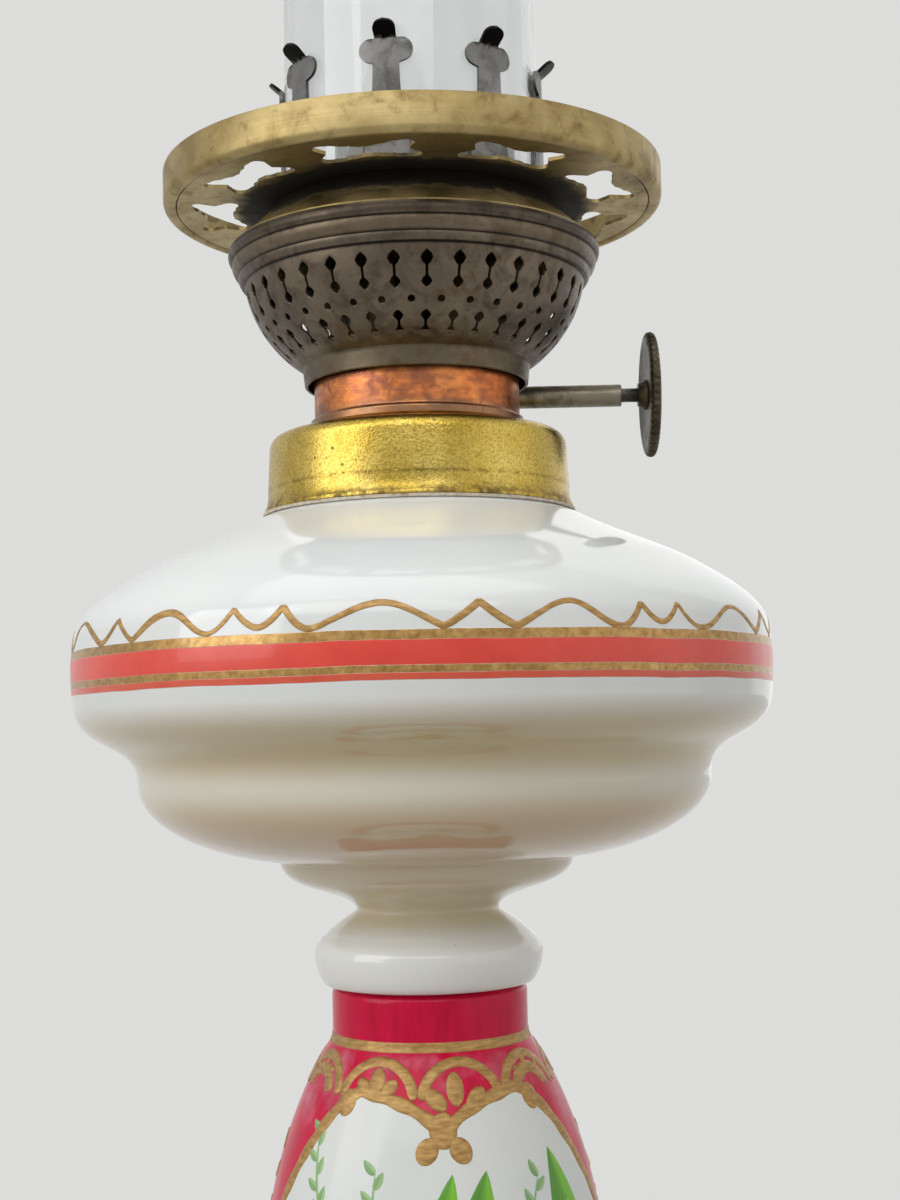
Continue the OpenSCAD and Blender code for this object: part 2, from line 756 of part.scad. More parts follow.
// Thumb wheel: ribbed rim, dished web and a hub boss on the inner face
module thumb_wheel() {
  wheel_r = wheel_d / 2;
  rib = 0.25;
  rim_w = 2.2;
  web = 0.9;
  web_fillet = 0.3;
  hub_taper = 1.5;
  half = wheel_t / 2;
  rim_in = wheel_r - rim_w;
  hub_r = hub_d / 2;
  hub_root = web / 2 + web_fillet;
  step = 180 / wheel_ribs;
  edge = [
    for (i = [0:2 * wheel_ribs - 1]) (wheel_r - rib * (i % 2)) * [cos(i * step), sin(i * step)]
  ];
  color("darkslategray") along_spindle(wheel_x) difference() {
    union() {
      intersection() {
        translate([0, 0, -half]) linear_extrude(wheel_t) polygon(edge);
        revolve(concat(
          [[0, -half], [rim_in, -half]],
          sweep([rim_in, -half], [wheel_r, 0], [0.73, 0], [1, 0.3]),
          sweep([wheel_r, 0], [rim_in, half], [0, 0.7], [0.27, 1]),
          [[0, half]]
        ));
      }
      translate([0, 0, -half - hub_in]) cylinder(d1 = hub_d - hub_taper, d2 = hub_d, h = hub_in + half);
    }
    for (face = [-1, 1])
      revolve(concat(
        [[hub_r, face * (half + cut)], [hub_r, face * hub_root]],
        sweep([hub_r, face * hub_root], [rim_in, face * half], [0.19, -0.67], [0.69, -0.67]),
        [[rim_in, face * (half + cut)]]
      ));
    translate([0, 0, -half - hub_in - cut])
      cylinder(d = spindle_d + 2 * seat_gap, h = wheel_t + hub_in + 2 * cut);
  }
}

// Wick: woven curtain rolled into a tube, open at the chute, closing above it, and relaxing in the oil
wick_sides = 32;
tail_steps = 6;
closing_steps = 9;
wick_top_z = tube_top_z + wick_show;
wick_low_z = floor_z + wick_clear;
wick_slack = 1;
wick_relax_z = tube_low_z - wick_up - wick_slack;
wick_close_z = chute_top_z + wick_down + sheet;
wick_closed_z = wick_top_z - 2 * wick_slack;
wick_spread = 4;
chute_clear = 0.5;
chute_half_angle = asin((chute_w / 2 + chute_clear) / wick_inner_r);
seam_half_angle = 2;
wick_arc = wick_d / 2 * (180 - chute_half_angle);
wick_heights = concat(
  [for (i = [0:tail_steps]) wick_low_z + (wick_relax_z - wick_low_z) * i / tail_steps],
  [for (i = [0:closing_steps]) wick_close_z + (wick_closed_z - wick_close_z) * i / closing_steps],
  [wick_top_z]
);
wick_levels = len(wick_heights) - 1;

function wick_mean_r(z) = wick_d / 2 + wick_spread * blend((wick_relax_z - z) / (wick_relax_z - wick_low_z));

function wick_closing(z) = blend((z - wick_close_z) / (wick_closed_z - wick_close_z));

function wick_half_arc(z) = z > wick_relax_z
  ? 180 - chute_half_angle + (chute_half_angle - seam_half_angle) * wick_closing(z)
  : wick_arc / wick_mean_r(z);

module wick() {
  loop = 2 * (wick_sides + 1);
  outline = [
    for (j = [0:wick_levels]) let (z = wick_heights[j], half = wick_half_arc(z), r = wick_mean_r(z))
      for (k = [0:loop - 1]) let (
          outer = k <= wick_sides,
          i = outer ? k : loop - 1 - k,
          a = 90 - half + 2 * half * i / wick_sides,
          d = r + (outer ? wick_t / 2 : -wick_t / 2)
        ) [d * cos(a), d * sin(a), z]
  ];
  walls = [
    for (j = [0:wick_levels - 1]) for (k = [0:loop - 1])
      let (a = j * loop + k, b = j * loop + (k + 1) % loop) each [[a, a + loop, b], [b, a + loop, b + loop]]
  ];
  ends = [
    for (j = [0, wick_levels]) for (i = [0:wick_sides - 1])
      let (a = j * loop + i, b = a + 1, c = j * loop + loop - 2 - i, d = c + 1)
        each (j == 0 ? [[a, b, c], [a, c, d]] : [[a, c, b], [a, d, c]])
  ];
  color("wheat") polyhedron(outline, concat(walls, ends));
}

// Chimney: wide cylinder, drawn-in shoulder and a long tube with a fire-polished top
module chimney() {
  base_r = chimney_d / 2;
  tube_r = chimney_tube_d / 2;
  shoulder_h = 16;
  shoulder_sink = 0.6;
  tube_draw = 0.6;
  low_z = chimney_z + chimney_base_h;
  high_z = low_z + shoulder_h;
  lip = chimney_wall / 2;
  end_z = chimney_z + chimney_h - lip;
  end_r = tube_r - tube_draw;
  base_in = base_r - chimney_wall;
  tube_in = tube_r - chimney_wall;
  lip_arc = arc([end_r - lip, end_z], lip, 0, 180);
  outside = concat(
    [[base_r, chimney_z], [base_r, low_z]],
    sweep([base_r, low_z], [tube_r, high_z], [0, 0.56], [0.94, 0.375]),
    [[end_r, end_z]]
  );
  inside = concat(
    [[base_in, chimney_z], [base_in, low_z - shoulder_sink]],
    sweep([base_in, low_z - shoulder_sink], [tube_in, high_z], [0, 0.48], [0.94, 0.36]),
    [[end_r - chimney_wall, end_z]]
  );
  color("lightcyan", 0.5)
    revolve(concat(outside, [for (i = [0:len(lip_arc) - 2]) lip_arc[i]], reversed(inside)));
}

foot();
foot_plaster();
font();
collar_plaster();
collar();
burner_cup();
deck_plate();
outer_wick_tube();
inner_air_tube();
air_tube_cap();
air_chute();
basket();
crown();
gallery();
spindle_sleeve();
spindle_bracket();
spindle();
sprockets();
thumb_wheel();
wick();
chimney();
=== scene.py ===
import math

import bmesh
import bpy
import numpy as np
from mathutils import Matrix, Vector
from mathutils.geometry import tessellate_polygon


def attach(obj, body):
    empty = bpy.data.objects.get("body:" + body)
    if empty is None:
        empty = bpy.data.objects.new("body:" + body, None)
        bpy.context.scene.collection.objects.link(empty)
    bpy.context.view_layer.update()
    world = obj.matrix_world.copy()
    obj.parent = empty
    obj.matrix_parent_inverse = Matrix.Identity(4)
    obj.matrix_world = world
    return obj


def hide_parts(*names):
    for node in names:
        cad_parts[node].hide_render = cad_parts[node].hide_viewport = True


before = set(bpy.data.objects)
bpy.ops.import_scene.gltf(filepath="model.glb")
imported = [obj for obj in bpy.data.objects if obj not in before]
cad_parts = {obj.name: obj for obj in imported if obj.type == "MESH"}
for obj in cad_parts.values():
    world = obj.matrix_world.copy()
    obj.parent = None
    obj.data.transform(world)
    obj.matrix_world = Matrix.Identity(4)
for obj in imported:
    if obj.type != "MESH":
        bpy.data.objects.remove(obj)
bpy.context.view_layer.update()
mm = 0.001
scene = bpy.context.scene
scene.view_settings.view_transform = "Standard"
print("frame:", len(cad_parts), "CAD nodes")


# cubic curve: its four points weighted by (1-t)^3, 3t(1-t)^2, 3t^2(1-t), t^3; the first point is left out
def bow(a, b, c, d, steps=18):
    a, b, c, d = (np.array(p, float) for p in (a, b, c, d))
    t = np.linspace(0, 1, steps + 1)[1:, None]
    return (1 - t) ** 3 * a + 3 * t * (1 - t) ** 2 * b + 3 * t ** 2 * (1 - t) * c + t ** 3 * d


# arc: centre plus radius times (cos, sin) of an even run of angles; the first point is left out
def arc(centre, r, start, end, steps=10):
    a = np.radians(np.linspace(start, end, steps + 1)[1:])
    return np.array(centre, float) + r * np.stack([np.cos(a), np.sin(a)], -1)


# outline: points (r, z), runs of points, and curves given by the three points after the one they start
# from
def outline(*parts):
    runs = []
    for part in parts:
        if isinstance(part, np.ndarray):
            runs.append(part)
        else:
            runs.append(np.array([part], float) if len(part) == 2 else bow(runs[-1][-1], *part))
    return np.vstack(runs)


def evenRun(points, counts):
    runs = zip(points[:-1], points[1:], counts)
    return np.concatenate([np.linspace(p, q, n, endpoint=False) for p, q, n in runs])


def runLength(points):
    return np.concatenate([[0], np.cumsum(np.hypot(*np.diff(points, axis=0).T))])


# closed loop spaced evenly by its length, with the length at each point
def evenLoop(loop, count, scale=(1, 1)):
    closed = np.vstack([loop, loop[:1]])
    run = runLength(closed * scale)
    at = np.linspace(0, run[-1], count, endpoint=False)
    return at, np.stack([np.interp(at, run, v) for v in closed.T], -1)


# unit normal of an outline: its direction turned a quarter to the right
def outward(points):
    way = np.gradient(points, axis=0)
    return np.stack([way[:, 1], -way[:, 0]], -1) / np.linalg.norm(way, axis=1, keepdims=True)


# place round the axis: x = r sin a, y = -r cos a
def around(r, a, z):
    return np.stack(np.broadcast_arrays(r * np.sin(a), -r * np.cos(a), z), -1)


# quads of a grid of m rows and n columns, either way closed on itself where asked
def gridQuads(m, n, wrapRows=False, wrapCols=True):
    i = np.arange(m if wrapRows else m - 1)[:, None]
    j = np.arange(n if wrapCols else n - 1)[None, :]
    after, right = (i + 1) % m * n, (j + 1) % n
    return np.stack([i * n + j, i * n + right, after + right, after + j], -1).reshape(-1, 4)


# turned shape: each profile point (r, z) carried round the axis
def turned(profile, segments=192, closed=True):
    a = np.arange(segments) * 2 * np.pi / segments
    points = around(profile[:, :1], a, profile[:, 1:]).reshape(-1, 3)
    return points, gridQuads(len(profile), segments, wrapRows=closed)


# loft: rows of closed loops joined row to row, with the end loops drawn together to their middles
def loft(rows):
    ends = [np.repeat(rows[k].mean(0)[None], rows.shape[1], 0)[None] for k in (0, -1)]
    rows = np.concatenate([ends[0], rows, ends[1]])
    return rows.reshape(-1, 3), gridQuads(rows.shape[0], rows.shape[1])


def joined(*shells):
    starts = np.cumsum([0] + [len(s[0]) for s in shells[:-1]])
    return np.vstack([s[0] for s in shells]), np.vstack([s[1] + k for s, k in zip(shells, starts)])


def makePiece(name, shell, finish, body, nodes=(), uv=None, marks=None, sharp=38):
    points, faces = shell
    mesh = bpy.data.meshes.new(name)
    mesh.from_pydata((points * mm).tolist(), [], faces.tolist())
    if uv is not None:
        mesh.uv_layers.new(name="UVMap").data.foreach_set("uv", uv.astype(np.float32).ravel())
    for key, values in (marks or {}).items():
        mesh.attributes.new(key, "FLOAT", "POINT").data.foreach_set("value", values.astype(np.float32))
    bm = bmesh.new()
    bm.from_mesh(mesh)
    bmesh.ops.remove_doubles(bm, verts=bm.verts, dist=1e-6)
    bmesh.ops.dissolve_degenerate(bm, edges=bm.edges, dist=1e-7)
    bm.to_mesh(mesh)
    bm.free()
    mesh.polygons.foreach_set("use_smooth", np.ones(len(mesh.polygons), bool))
    mesh.set_sharp_from_angle(angle=math.radians(sharp))
    mesh.materials.append(finish.material)
    obj = bpy.data.objects.new(name, mesh)
    scene.collection.objects.link(obj)
    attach(obj, body)
    if nodes:
        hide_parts(*nodes)
    return obj


# colour given as 0 to 255 on screen, turned to linear light
def paint(r, g, b):
    c = np.array([r, g, b]) / 255
    return (*np.where(c <= 0.04045, c / 12.92, ((c + 0.055) / 1.055) ** 2.4).tolist(), 1.0)


class Nodes:
    def __init__(self, tree):
        self.tree = tree

    def add(self, kind, inputs=None, **settings):
        node = self.tree.nodes.new(kind)
        for key, value in settings.items():
            setattr(node, key, value)
        for key, value in (inputs or {}).items():
            self.feed(node.inputs[key], value)
        return node

    def feed(self, socket, value):
        if isinstance(value, bpy.types.NodeSocket):
            self.tree.links.new(value, socket)
        else:
            socket.default_value = value

    def math(self, operation, *values):
        return self.add("ShaderNodeMath", dict(enumerate(values)), operation=operation).outputs[0]

    def times(self, a, b):
        return self.math("MULTIPLY", a, b)

    def plus(self, a, b):
        return self.math("ADD", a, b)

    def most(self, a, b):
        return self.math("MAXIMUM", a, b)

    # 1 for rays that show a surface to the camera, straight, mirrored or through glass
    def seenRays(self):
        rays = self.add("ShaderNodeLightPath").outputs
        return self.most(self.most(rays["Is Camera Ray"], rays["Is Glossy Ray"]),
                         rays["Is Transmission Ray"])


class Finish(Nodes):
    def __init__(self, name):
        self.material = bpy.data.materials.new(name)
        self.material.use_nodes = True
        super().__init__(self.material.node_tree)
        self.shader = self.tree.nodes["Principled BSDF"]
        self.place = self.add("ShaderNodeTexCoord").outputs["Object"]
        self.x, self.y, self.z = self.add("ShaderNodeSeparateXYZ", {0: self.place}).outputs

    def noise(self, scale, detail=4.0, rough=0.55, vector=None, warp=0.0):
        inputs = {"Vector": vector or self.place, "Scale": scale, "Detail": detail, "Roughness": rough,
                  "Distortion": warp}
        return self.add("ShaderNodeTexNoise", inputs).outputs["Fac"]

    def cells(self, scale):
        return self.add("ShaderNodeTexVoronoi",
                        {"Vector": self.place, "Scale": scale}).outputs["Distance"]

    def stretched(self, x, y, z):
        return self.add("ShaderNodeMapping", {"Vector": self.place, "Scale": (x, y, z)}).outputs[0]

    def heightInMm(self):
        return self.times(self.z, 1000.0)

    # rings: a coordinate made of radius and height alone, so a pattern on it runs round the axis
    def rings(self):
        r = self.math("SQRT", self.plus(self.times(self.x, self.x), self.times(self.y, self.y)))
        return self.add("ShaderNodeCombineXYZ", {0: r, 2: self.z}).outputs[0]

    def ownUv(self):
        uv = self.add("ShaderNodeUVMap").outputs[0]
        return uv, *self.add("ShaderNodeSeparateXYZ", {0: uv}).outputs[:2]

    def span(self, value, low, high, toLow=0.0, toHigh=1.0, smooth=False):
        kind = "SMOOTHSTEP" if smooth else "LINEAR"
        inputs = {"Value": value, "From Min": low, "From Max": high, "To Min": toLow, "To Max": toHigh}
        return self.add("ShaderNodeMapRange", inputs, interpolation_type=kind).outputs["Result"]

    # cloud: noise spread over a range
    def cloud(self, scale, detail, low=0.3, high=0.7, toLow=0.0, toHigh=1.0, rough=0.55):
        return self.span(self.noise(scale, detail, rough), low, high, toLow, toHigh)

    # 1 between two values, with soft edges of the given width
    def between(self, value, low, high, edge):
        return self.times(self.span(value, low - edge, low + edge),
                          self.span(value, high - edge, high + edge, 1.0, 0.0))

    def mix(self, share, a, b):
        a, b = (paint(*c) if isinstance(c, tuple) and len(c) == 3 else c for c in (a, b))
        return self.add("ShaderNodeMix", {0: share, 6: a, 7: b}, data_type="RGBA").outputs[2]

    # wash: a tone laid over a colour where the mask is, at a share of its strength
    def wash(self, colour, tone, mask, share):
        return self.mix(self.times(mask, share), colour, tone)

    def mark(self, name):
        return self.add("ShaderNodeAttribute", attribute_name=name).outputs["Fac"]

    def bump(self, height, depth):
        return self.add("ShaderNodeBump", {"Height": height, "Distance": depth,
                                           "Strength": 1.0}).outputs[0]

    def set(self, **sockets):
        for key, value in sockets.items():
            self.feed(self.shader.inputs[key.replace("_", " ")], value)
        return self


# metal: two tones and a tarnish laid over each other by noise, roughness that follows them, turning lines
def metalFinish(name, tone, light, tarnish, rough=(0.3, 0.5), tarnishShare=(0.52, 0.7), grain=0.00002,
                lines=0.3, metallic=1.0):
    f = Finish(name)
    patch = f.noise(210, 6, 0.68, warp=0.6)
    fine = f.noise(1900, 3, 0.6)
    turning = f.noise(2600, 2, 0.5, f.rings())
    colour = f.mix(f.cloud(90, 5, 0.35, 0.68, rough=0.6), tone, light)
    colour = f.mix(f.span(patch, *tarnishShare), colour, tarnish)
    f.colour = f.mix(f.span(fine, 0.3, 0.75, 0.0, 0.16), colour, light)
    f.worn = f.plus(f.span(patch, 0.35, 0.72, *rough), f.span(turning, 0.3, 0.7, -0.05, 0.05))
    height = f.plus(f.times(turning, lines), f.plus(fine, f.times(patch, 0.8)))
    return f.set(Base_Color=f.colour, Metallic=metallic, Roughness=f.worn, Normal=f.bump(height, grain))


foot = {"baseR": 56.0, "restW": 8.0, "waistR": 17.0, "waistZ": 48.0, "beadR": 3.0, "bodyR": 33.5,
        "bodyZ": 104.0, "neckR": 19.75, "neckZ": 145.5, "top": 156.0, "wall": 4.5, "segments": 240}


def footOutside(f):
    w, b, n, base = f["waistR"], f["bodyR"], f["neckR"], f["baseR"]
    low, high = f["waistZ"] - f["beadR"], f["waistZ"] + f["beadR"]
    body, neck, top = f["bodyZ"], f["neckZ"], f["top"]
    return outline(
        (base - 3, 0), ((base - 1, 0), (base, 1.2), (base, 3.5), 8),
        (base, 6.5), ((base, 8.5), (base - 1, 9.5), (base - 3, 10), 8),
        ((base - 20, 14), (w + 0.5, low - 20), (w, low), 30),
        arc((w, f["waistZ"]), f["beadR"], -90, 90, 16),
        ((w + 3, high + 15), (b, body - 22), (b, body), 64),
        ((b, body + 14), (n + 6.5, neck - 9), (n + 0.5, neck - 0.5), 72),
        ((n + 0.1, neck - 0.1), (n, neck + 0.3), (n, neck + 1), 5), (n, top - 2),
        arc((n - 2, top - 2), 2, 0, 90, 8))


def footInside(f):
    w, b, n = (f[key] - f["wall"] for key in ("waistR", "bodyR", "neckR"))
    low, high = f["waistZ"] - f["beadR"], f["waistZ"] + f["beadR"]
    base, body, neck = f["baseR"], f["bodyZ"], f["neckZ"]
    return outline(
        (base - f["restW"], 0), ((base - 18, 4), (w + 1, low - 26), (w, low), 20), (w, high),
        ((w + 2, high + 16), (b, body - 22), (b, body), 16),
        ((b, body + 13), (n + 7, neck - 11), (n, neck - 2), 16), (n, f["top"]))


font = {"seatZ": 156.0, "pegR": 12.0, "pegL": 18.0, "knopR": 23.2, "knopZ": 161.8, "waistR": 14.5,
        "waistZ": 171.0, "stepR": 29.8, "bowlZ": 181.1, "cupR": 58.0, "cupZ": 198.1, "lowZ": 212.6,
        "bellyR": 71.0, "bellyZ": 219.6, "shoulderZ": 226.1, "ledgeR": 31.8, "ledgeZ": 250.8,
        "neckR": 27.0, "boreR": 22.5, "neckTop": 262.3, "wall": 4.0, "segments": 264}


def knopOutside(f):
    k, s, w, z, step, wide = f["knopR"], f["seatZ"], f["waistR"], f["waistZ"], f["stepR"], f["knopZ"]
    return outline(
        (k - 3.5, s), (k - 2.6, s), ((k - 1.6, s), (k - 0.2, wide - 2.8), (k, wide)),
        ((k, wide + 2.8), (k - 1.9, wide + 3.4), (k - 3, z - 4.4)),
        ((w + 1.5, z - 1), (w, z - 0.7), (w, z)), ((w + 0.4, z + 2), (w + 4.5, z + 3), (w + 8, z + 4.2)),
        ((w + 11.5, z + 5.3), (step - 0.5, z + 6.6), (step, f["bowlZ"] - 0.5)))


def bowlOutside(f):
    step, bowl, cup, cupZ, low, r = f["stepR"], f["bowlZ"], f["cupR"], f["cupZ"], f["lowZ"], f["bellyR"]
    top, belly, ledge, ledgeZ = f["shoulderZ"], f["bellyZ"], f["ledgeR"], f["ledgeZ"]
    return outline(
        (step + 0.5, bowl), ((step + 14.2, bowl + 1.1), (cup, bowl + 7.5), (cup, cupZ - 1.1), 28),
        ((cup, cupZ + 4.5), (r - 9, cupZ + 5.4), (r - 6.2, cupZ + 7.1)),
        ((r - 2.4, cupZ + 9.2), (r - 0.6, low - 3), (r - 0.5, low)),
        ((r - 0.1, low + 3), (r, belly - 2), (r, belly), 10),
        ((r, belly + 2.5), (r - 0.3, top - 2.3), (r - 0.6, top), 10),
        ((r - 1.4, top + 5.2), (r - 7, top + 8.7), (r - 14, top + 12.9), 24),
        ((r - 20.5, top + 16.7), (ledge + 9, ledgeZ - 5.2), (ledge, ledgeZ), 24))


# painted bands of the font and tints over its glass, by height in mm: a whiter knop, then cream bands low
# on the bowl and in the crease under the belly that are painted warm shade; a tint has a share and a tone
bands = {"lowLine": (214.8, 216.0), "lowGold": (216.0, 217.3), "coral": (217.3, 221.6),
         "topGold": (221.6, 223.3), "edge": 0.06}
tintsAndShade = ((150.0, 166.5, 0.9, (245, 247, 243)), (184.0, 192.5, 0.6, (222, 196, 158)),
         (200.5, 207.0, 0.7, (222, 205, 156)))


def opalineFinish():
    f = Finish("opaline")
    height = f.heightInMm()
    wobble = f.plus(height, f.cloud(60, 3, 0.2, 0.8, -0.18, 0.18))
    milk = f.mix(f.cloud(22, 3), (226, 230, 229), (234, 235, 231))
    # cream laid on the waist and the lower bowl by height: painted warm shade on the underside
    creamShade = f.mix(f.cloud(30, 3), (226, 213, 182), (231, 221, 195))
    low = f.times(f.span(height, 205, 214, 1.0, 0.0, True), f.span(height, 165, 171, 0.0, 1.0, True))
    low = f.times(low, f.math("SUBTRACT", 1.0, f.times(f.between(height, 194.5, 198.5, 3.0), 0.6)))
    colour = f.mix(low, milk, creamShade)
    # tints by height: a whiter knop, and painted warm shade in bands low on the bowl and in the crease
    for lowEdge, highEdge, share, tone in tintsAndShade:
        colour = f.wash(colour, tone, f.between(height, lowEdge, highEdge, 2.0), share)
    speck = f.times(f.span(f.cells(260), 0.05, 0.025), f.cloud(40, 2, 0.6, 0.64))
    colour = f.wash(colour, (120, 105, 90), speck, 0.5)
    chip = f.times(f.span(f.cells(150), 0.16, 0.13), f.cloud(75, 2, 0.6, 0.62))
    coral = f.mix(f.cloud(120, 4), (224, 62, 46), (236, 76, 58))
    coral = f.wash(coral, (236, 196, 186), chip, 0.85)
    orange = f.mix(f.cloud(140, 4), (216, 78, 52), (226, 96, 68))
    gold = f.mix(f.cloud(700, 4, 0.35, 0.7, rough=0.65), (150, 110, 52), (198, 160, 94))
    gold = f.wash(gold, (214, 190, 150), f.cloud(420, 5, 0.62, 0.7, rough=0.7), 0.35)
    masks = {key: f.between(wobble, *bands[key], bands["edge"]) for key in bands if key != "edge"}
    goldMask = f.most(masks["lowGold"], masks["topGold"])
    for mask, tone in ((masks["coral"], coral), (masks["lowLine"], orange), (goldMask, gold)):
        colour = f.mix(mask, colour, tone)
    painted = f.most(f.most(masks["coral"], masks["lowLine"]), goldMask)
    rough = f.plus(f.cloud(180, 4, 0.3, 0.7, 0.07, 0.13), f.times(painted, 0.2))
    swell = f.plus(f.times(f.noise(45, 2), 0.25), f.times(painted, 0.35))
    swell = f.math("SUBTRACT", swell, f.times(f.times(chip, masks["coral"]), 0.3))
    f.set(Base_Color=colour, Roughness=rough, Metallic=f.times(goldMask, 0.6),
          Normal=f.bump(swell, 0.00016))
    return f.set(Subsurface_Weight=0.12, Subsurface_Radius=(0.005, 0.0045, 0.004), Subsurface_Scale=0.6,
                 Coat_Weight=0.25, Coat_Roughness=0.04)


# painted ground of the foot: the marks hold, in mm, how far a point is outside the white panels and how
# far inside the band under the neck ring where the crimson turns paler pink in patches
def groundFinish():
    f = Finish("painted_opaline")
    white = f.mix(f.cloud(40, 3), (222, 228, 226), (234, 235, 230))
    brushed = f.noise(1.0, 4, 0.6, f.stretched(500, 500, 90))
    crimson = f.mix(f.span(brushed, 0.3, 0.72), (192, 0, 50), (220, 5, 68))
    pink = f.mix(f.span(brushed, 0.3, 0.7), (186, 60, 88), (214, 116, 136))
    outside = f.span(f.mark("outside"), -0.12, 0.12)
    red = f.mix(f.times(f.span(f.mark("pale"), 0.0, 1.5), f.cloud(120, 3, 0.44, 0.66)), crimson, pink)
    red = f.wash(red, (206, 120, 130), f.cloud(330, 5, 0.66, 0.74, rough=0.7), 0.12)
    colour = f.mix(outside, white, red)
    colour = f.mix(f.cloud(260, 5, 0.64, 0.8, 0.0, 0.12, rough=0.7), colour, (150, 130, 110))
    rough = f.plus(f.cloud(200, 4, 0.3, 0.7, 0.08, 0.15), f.times(outside, 0.1))
    swell = f.plus(f.times(f.noise(50, 2), 0.25), f.times(outside, 0.3))
    swell = f.plus(swell, f.times(f.times(brushed, outside), 0.12))
    return f.set(Base_Color=colour, Roughness=rough, Normal=f.bump(swell, 0.00016),
                 Specular_IOR_Level=0.22)


def gildingFinish():
    f = Finish("gilding")
    across = f.ownUv()[2]
    worn = f.cloud(620, 5, 0.6, 0.72, rough=0.72)
    rim = f.span(f.math("ABSOLUTE", f.math("SUBTRACT", across, 0.5)), 0.36, 0.5)
    streak = f.noise(1.0, 3, 0.6, f.stretched(420, 420, 1500))
    colour = f.mix(f.span(streak, 0.35, 0.68), (150, 112, 56), (192, 154, 92))
    colour = f.wash(colour, (118, 82, 38), rim, 0.35)
    colour = f.wash(colour, (220, 200, 152), worn, 0.35)
    height = f.plus(f.noise(900, 4, 0.6), f.times(worn, -0.5))
    return f.set(Base_Color=colour, Metallic=0.35, Roughness=f.cloud(420, 4, 0.3, 0.7, 0.34, 0.5),
                 Normal=f.bump(height, 0.00005))


def enamelFinish(name, dark, light, vein):
    f = Finish(name)
    uv, along, across = f.ownUv()
    streak = f.noise(5.0, 4, 0.6, f.add("ShaderNodeMapping",
                                        {"Vector": uv, "Scale": (0.6, 3.0, 1.0)}).outputs[0])
    side = f.span(f.plus(across, f.times(streak, 0.35)), 0.5, 0.85)
    colour = f.mix(f.times(f.plus(side, f.mark("tone")), 0.55), light, dark)
    rib = f.math("ABSOLUTE", f.math("SUBTRACT", across, 0.5))
    colour = f.mix(f.times(f.span(rib, 0.07, 0.03), f.span(along, 0.9, 0.2)), colour, vein)
    colour = f.mix(f.cloud(300, 4, 0.62, 0.78, 0.0, 0.4), colour, light)
    height = f.plus(streak, f.times(f.noise(600, 3), 0.4))
    return f.set(Base_Color=colour, Roughness=f.span(streak, 0.3, 0.7, 0.25, 0.4),
                 Normal=f.bump(height, 0.00005))


# enamel stroke on a turned wall: a low dome carried along a line of (angle in degrees, height), with its
# half width along it; the wall's radius and slope are read off by height
def strokes(wall, lines):
    rise = np.array([-1.0, -0.86, -0.55, 0.0, 0.55, 0.86, 1.0])
    loop = np.concatenate([rise, [0.9, 0.0, -0.9]])
    lift = np.concatenate([np.sqrt(1 - rise ** 2), [-0.6, -0.6, -0.6]])
    r, z = wall.T
    slope = np.gradient(r, z)
    shells, uvs, tones = [], [], []
    for line in lines:
        a, h = np.radians(line["angle"]), np.asarray(line["z"], float)
        closed = line.get("closed", False)
        radius, steep = np.interp(h, z, r), np.sqrt(1 + np.interp(h, z, slope) ** 2)
        du, dv = np.gradient(a) * radius, np.gradient(h) * steep
        if closed:
            du = (np.roll(a, -1) - np.roll(a, 1) + np.pi) % (2 * np.pi) * radius - np.pi * radius
            dv = (np.roll(h, -1) - np.roll(h, 1)) * steep
        size = np.hypot(du, dv) + 1e-12
        width = np.broadcast_to(line["half"], h.shape)
        half = width[:, None] * loop
        aa = a[:, None] - (dv / size / radius)[:, None] * half
        hh = h[:, None] + (du / size / steep)[:, None] * half
        thick = np.minimum(line["rise"], width * 0.4)[:, None] * lift
        lean = np.interp(hh, z, slope)
        thick = thick / np.sqrt(1 + lean ** 2)
        rows = around(np.interp(hh, z, r) + thick, aa, hh - thick * lean)
        m, k = rows.shape[:2]
        quads = gridQuads(m, k, wrapRows=closed)[:, ::-1]
        shells.append((rows.reshape(-1, 3), quads))
        u, v = np.repeat(np.linspace(0, 1, m), k), np.tile((loop + 1) / 2, m)
        uvs.append(np.stack([u, v], -1)[quads])
        tones.append(np.full(m * k, line.get("tone", 0.0)))
    return joined(*shells), np.vstack(uvs), {"tone": np.concatenate(tones)}


def makeStrokes(name, wall, lines, finish):
    shell, uv, marks = strokes(wall, lines)
    makePiece(name, shell, finish, "lamp_base", uv=uv, marks=marks, sharp=80)


gilding = gildingFinish()
bowlWall = bowlOutside(font)
innerWall = bowlWall - font["wall"] * outward(bowlWall)
pegEnd = font["seatZ"] - font["pegL"]
fontProfile = outline(
    (0, pegEnd), (font["pegR"], pegEnd), (font["pegR"], font["seatZ"]), knopOutside(font), bowlWall,
    (font["neckR"], font["ledgeZ"]), (font["neckR"], font["neckTop"]), (font["boreR"], font["neckTop"]),
    (font["boreR"], innerWall[-1, 1] + 2), innerWall[::-1], (0, innerWall[0, 1] - 0.6))
makePiece("font_glass", turned(fontProfile, font["segments"], closed=False), opalineFinish(), "lamp_base",
          ["font"], sharp=50)

scallop = {"low": 223.7, "arch": 228.0, "peak": 227.8, "dip": 224.4, "half": 0.56, "rise": 0.1,
           "repeats": 6, "turn": -14.3, "stops": (0.0, 0.305, 0.468, 0.733, 1.0), "points": 1440}


